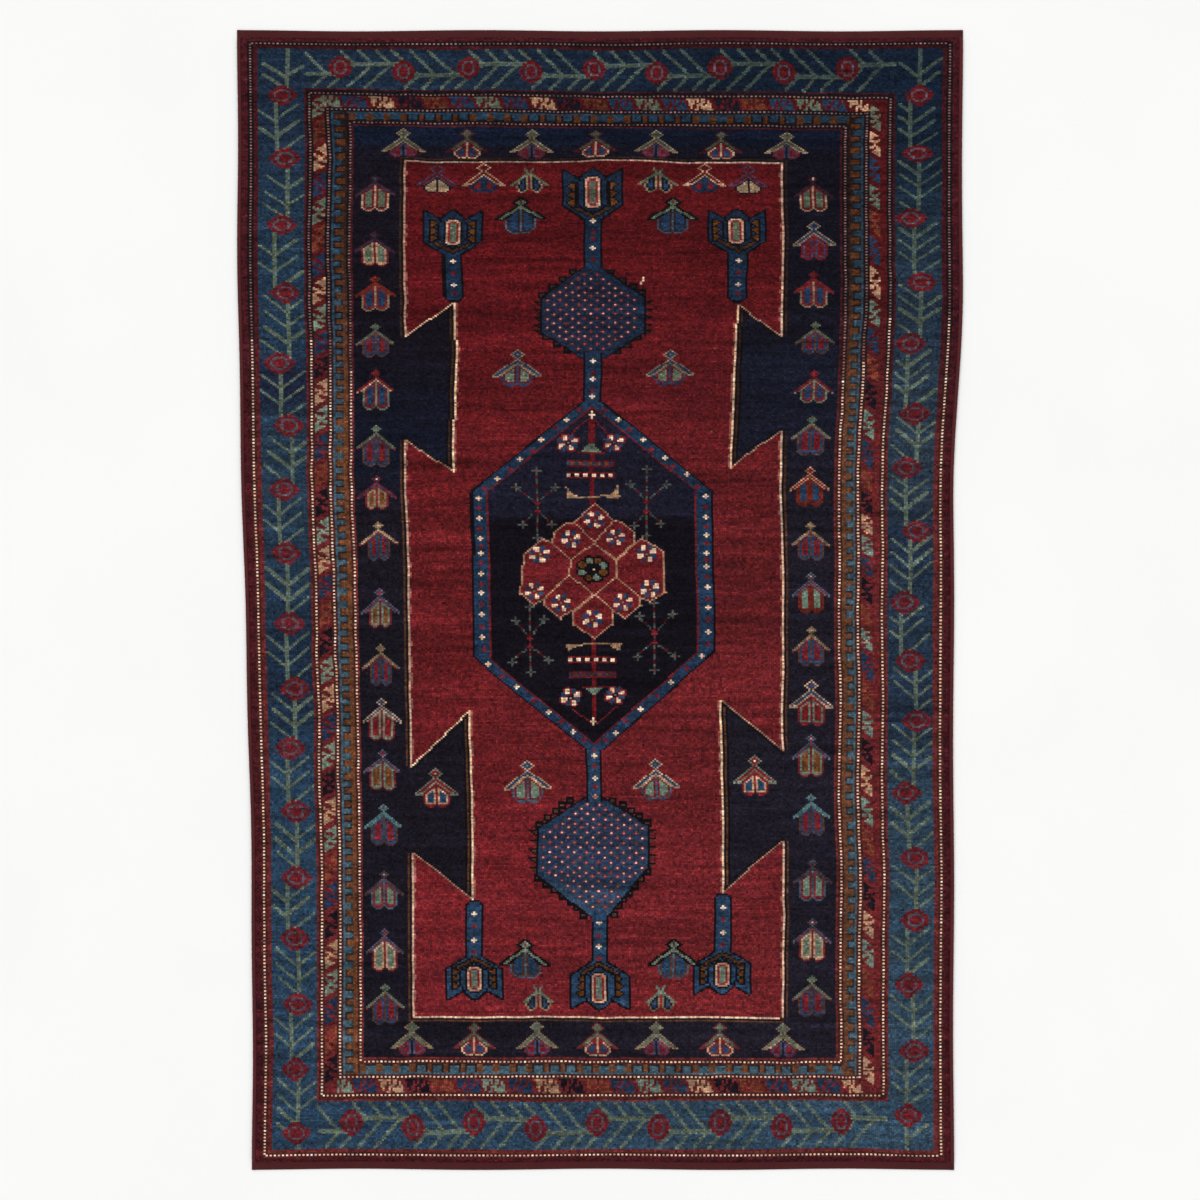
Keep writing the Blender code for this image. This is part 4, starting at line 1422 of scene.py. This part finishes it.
def shader_base(name, roughness, specular, sheen):
    """A material with a Principled shader set for dry wool."""
    material = bpy.data.materials.new(name)
    material.use_nodes = True
    tree = material.node_tree
    shader = tree.nodes["Principled BSDF"]
    for socket, value in (("Roughness", roughness), ("Specular IOR Level", specular),
                          ("Sheen Weight", sheen), ("Sheen Roughness", 0.5)):
        shader.inputs[socket].default_value = value
    return material, tree, shader


def paint(tree, shader, colour, factor):
    """Gives the shader a colour made lighter or darker by a factor."""
    scaled = node(tree, "VectorMath", operation="SCALE")
    feed(tree, scaled.inputs[0], colour)
    feed(tree, scaled.inputs["Scale"], factor)
    feed(tree, shader.inputs["Base Color"], scaled.outputs[0])


def noise(tree, scale, detail, vector):
    """Soft noise from 0 to 1."""
    made = node(tree, "TexNoise")
    for name, value in (("Scale", scale), ("Detail", detail), ("Roughness", 0.6), ("Vector", vector)):
        feed(tree, made.inputs[name], value)
    return made.outputs[0]


def two_tone(tree, factor, dark, light):
    """A colour that runs evenly from a dark one to a light one."""
    ramp = node(tree, "ValToRGB")
    for element, colour in zip(ramp.color_ramp.elements, (dark, light)):
        element.color = (*colour, 1.0)
    feed(tree, ramp.inputs[0], factor)
    return ramp.outputs[0]


def bumped(tree, shader, height, strength, distance):
    """Raises the surface by a height."""
    bump = node(tree, "Bump")
    for name, value in (("Strength", strength), ("Distance", distance), ("Height", height)):
        feed(tree, bump.inputs[name], value)
    feed(tree, shader.inputs["Normal"], bump.outputs[0])


def position(tree):
    """Where a point of the piece is, in metres."""
    return node(tree, "TexCoord").outputs["Object"]


def apart(tree, vector):
    """The parts of a place across and along."""
    made = node(tree, "SeparateXYZ")
    feed(tree, made.inputs[0], vector)
    return made.outputs[0], made.outputs[1]


def knot_dye(tree):
    """The dye stored on the knots, and places counted in knots across and along."""
    dye = node(tree, "Attribute", attribute_name="dye").outputs[0]
    knots = node(tree, "UVMap", uv_map="knots").outputs[0]
    return dye, *apart(tree, knots)


def wool_pile():
    """Cut wool: each knot a rounded tuft with painted shade that makes it darker at its foot, with fibres
    across it.
    """
    material, tree, shader = shader_base("wool pile", 1.0, 0.03, 0.0)
    dye, across, along = knot_dye(tree)
    place = position(tree)
    tuft = times(tree, ridge(tree, across, 0.5), ridge(tree, along, 0.5))
    fibre = noise(tree, 620.0, 3.0, place)
    strand = noise(tree, 260.0, 2.0, place)
    # painted shade: the tuft profile darkens the dye towards the foot of each knot, between the knots
    light, grain = between(tree, tuft, 0.34, 0.72), between(tree, fibre, 0.75, 0.63)
    paint(tree, shader, dye, times(tree, times(tree, light, grain), between(tree, strand, 0.55, 0.73)))
    bumped(tree, shader, maths(tree, "ADD", tuft, times(tree, fibre, 0.8)), 0.45, 0.0010)
    return material


def wool_back():
    """The knots' backs: two small flat loops to a knot, in rows, a little paler than the pile, with painted
    shade between the loops.
    """
    material, tree, shader = shader_base("knot backs", 0.9, 0.12, 0.02)
    dye, across, along = knot_dye(tree)
    loops = times(tree, ridge(tree, times(tree, across, 2.0), 0.6), ridge(tree, along, 0.6))
    fibre = noise(tree, 900.0, 2.0, position(tree))
    # painted shade: the loop pattern darkens the dye in the creases between the loops
    light, grain = between(tree, loops, 0.55, 0.75), between(tree, fibre, 0.5, 0.75)
    paint(tree, shader, dye, times(tree, light, grain))
    bumped(tree, shader, maths(tree, "ADD", loops, times(tree, fibre, 0.3)), 0.6, 0.0006)
    return material


WARP_PITCH, WEFT_PITCH = 0.0021, 0.0012   # of the webs and the ground


def woven_web():
    """Plain weave: weft ribs across that pass over and under the warps, in dark red wool, with painted shade
    between the ribs and the warps.
    """
    material, tree, shader = shader_base("woven web", 0.92, 0.12, 0.03)
    place = position(tree)
    across, along = apart(tree, place)
    warp, weft = times(tree, across, 1 / WARP_PITCH), times(tree, along, 1 / WEFT_PITCH)
    half = times(tree, maths(tree, "FLOOR", weft), 0.5)
    cloth = times(tree, ridge(tree, maths(tree, "ADD", warp, half), 0.7), ridge(tree, weft, 0.6))
    fibre = noise(tree, 800.0, 3.0, place)
    # the tone is partly painted shade, darker between the weft ribs and the warps, and partly soft noise
    tone = summed(tree, cloth, 0.55, noise(tree, 22.0, 3.0, place), 0.45)
    colour = two_tone(tree, tone, (0.035, 0.006, 0.007), (0.105, 0.020, 0.022))
    paint(tree, shader, colour, between(tree, fibre, 0.6, 0.7))
    bumped(tree, shader, maths(tree, "ADD", cloth, times(tree, fibre, 0.25)), 0.7, 0.0008)
    return material


def overcast_wool():
    """Yarn wrapped round the cord: dark red strands that differ a little from turn to turn, with painted
    shade between the strands.
    """
    material, tree, shader = shader_base("overcast wool", 0.9, 0.12, 0.04)
    place = position(tree)
    turn = times(tree, apart(tree, place)[1], 1 / WRAP_PITCH)
    strand = ridge(tree, times(tree, turn, 2.0), 0.6)
    fibre = noise(tree, 700.0, 3.0, place)
    # the tone is partly painted shade, darker between the strands of each turn, and partly soft noise
    tone = summed(tree, strand, 0.35, noise(tree, 9.0, 3.0, place), 0.6)
    colour = two_tone(tree, tone, (0.040, 0.008, 0.009), (0.115, 0.022, 0.024))
    paint(tree, shader, colour, between(tree, fibre, 0.6, 0.7))
    bumped(tree, shader, maths(tree, "ADD", strand, times(tree, fibre, 0.4)), 0.6, 0.0006)
    return material


def floor_paint():
    """A plain pale matt floor with the faintest mottling."""
    material, tree, shader = shader_base("pale floor", 0.9, 0.2, 0.0)
    mottling = noise(tree, 2.0, 2.0, position(tree))
    colour = two_tone(tree, mottling, (0.84, 0.84, 0.835), (0.88, 0.88, 0.875))
    feed(tree, shader.inputs["Base Color"], colour)
    return material


# ---------------------------------------------------------------- the rug

pile = wool_pile()
backs = wool_back()
FIELD_EDGE = 92
NEAR_START = NEAR_MIRROR + 4
FIELD_SPAN, WHOLE_SPAN = (-3, NEAR_START - 1), (FIRST_ROW, LAST_ROW)
pieces = [
    knotted("field_left", (-FIELD_EDGE, 0), FIELD_SPAN, pile, 2),
    knotted("field_right", (1, FIELD_EDGE), FIELD_SPAN, pile, 2),
    knotted("border_left", (FIRST_COLUMN, -FIELD_EDGE - 1), WHOLE_SPAN, pile, 3),
    knotted("border_right", (FIELD_EDGE + 1, LAST_COLUMN), WHOLE_SPAN, pile, 3),
    knotted("border_far", (-FIELD_EDGE, FIELD_EDGE), (FIRST_ROW, -4), pile, 1),
    knotted("border_near", (-FIELD_EDGE, FIELD_EDGE), (NEAR_START, LAST_ROW), pile, 1),
    backing("back_left", (FIRST_COLUMN, 3), backs, 2),
    backing("back_right", (4, LAST_COLUMN), backs, 2),
]
cord_wool = overcast_wool()
pieces.append(selvedge("selvedge_left", left_side, -1.0, cord_wool))
pieces.append(selvedge("selvedge_right", right_side, 1.0, cord_wool))
ground_cloth = foundation("foundation", woven_web())
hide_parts("rug")

# ---------------------------------------------------------------- floor, light and camera


FLOOR_HALF = 8.0
FLOOR_Z = -0.0003                       # a hair below the rug
SKY_STRENGTH = 0.72
CAMERA_HEIGHT = 5.71                    # above the pile
CAMERA_LENS, CAMERA_SENSOR, CAMERA_REACH = 85.0, 36.0, 100.0


def flat_floor(half, z):
    """A level square."""
    mesh = bpy.data.meshes.new("floor")
    corners = [(-half, -half, z), (half, -half, z), (half, half, z), (-half, half, z)]
    mesh.from_pydata(corners, [], [(0, 1, 2, 3)])
    mesh.materials.append(floor_paint())
    new_object("floor", mesh)


def studio_sun(name, towards, strength, spread):
    """A broad, even light that comes from one side: its direction, strength and spread in radians."""
    lamp = bpy.data.lights.new(name, "SUN")
    lamp.energy = strength
    lamp.angle = spread
    light = new_object(name, lamp)
    light.rotation_euler = Vector(towards).to_track_quat("-Z", "Y").to_euler()


flat_floor(FLOOR_HALF, FLOOR_Z)
studio_sun("key light", (0.55, -0.60, -1.0), 1.10, 0.7)
studio_sun("fill light", (-0.6, 0.3, -1.0), 0.45, 1.0)

world = bpy.data.worlds.new("studio")
world.use_nodes = True
sky = world.node_tree.nodes["Background"]
sky.inputs["Color"].default_value = (1.0, 1.0, 1.0, 1.0)
sky.inputs["Strength"].default_value = SKY_STRENGTH
bpy.context.scene.world = world
bpy.context.scene.view_settings.view_transform = "Standard"

camera_data = bpy.data.cameras.new("camera")
camera_data.lens = CAMERA_LENS
camera_data.sensor_width = CAMERA_SENSOR
camera_data.clip_end = CAMERA_REACH
camera = new_object("camera", camera_data)
camera.location = (0.0, 0.0, CAMERA_HEIGHT + PILE_HEIGHT)
bpy.context.scene.camera = camera
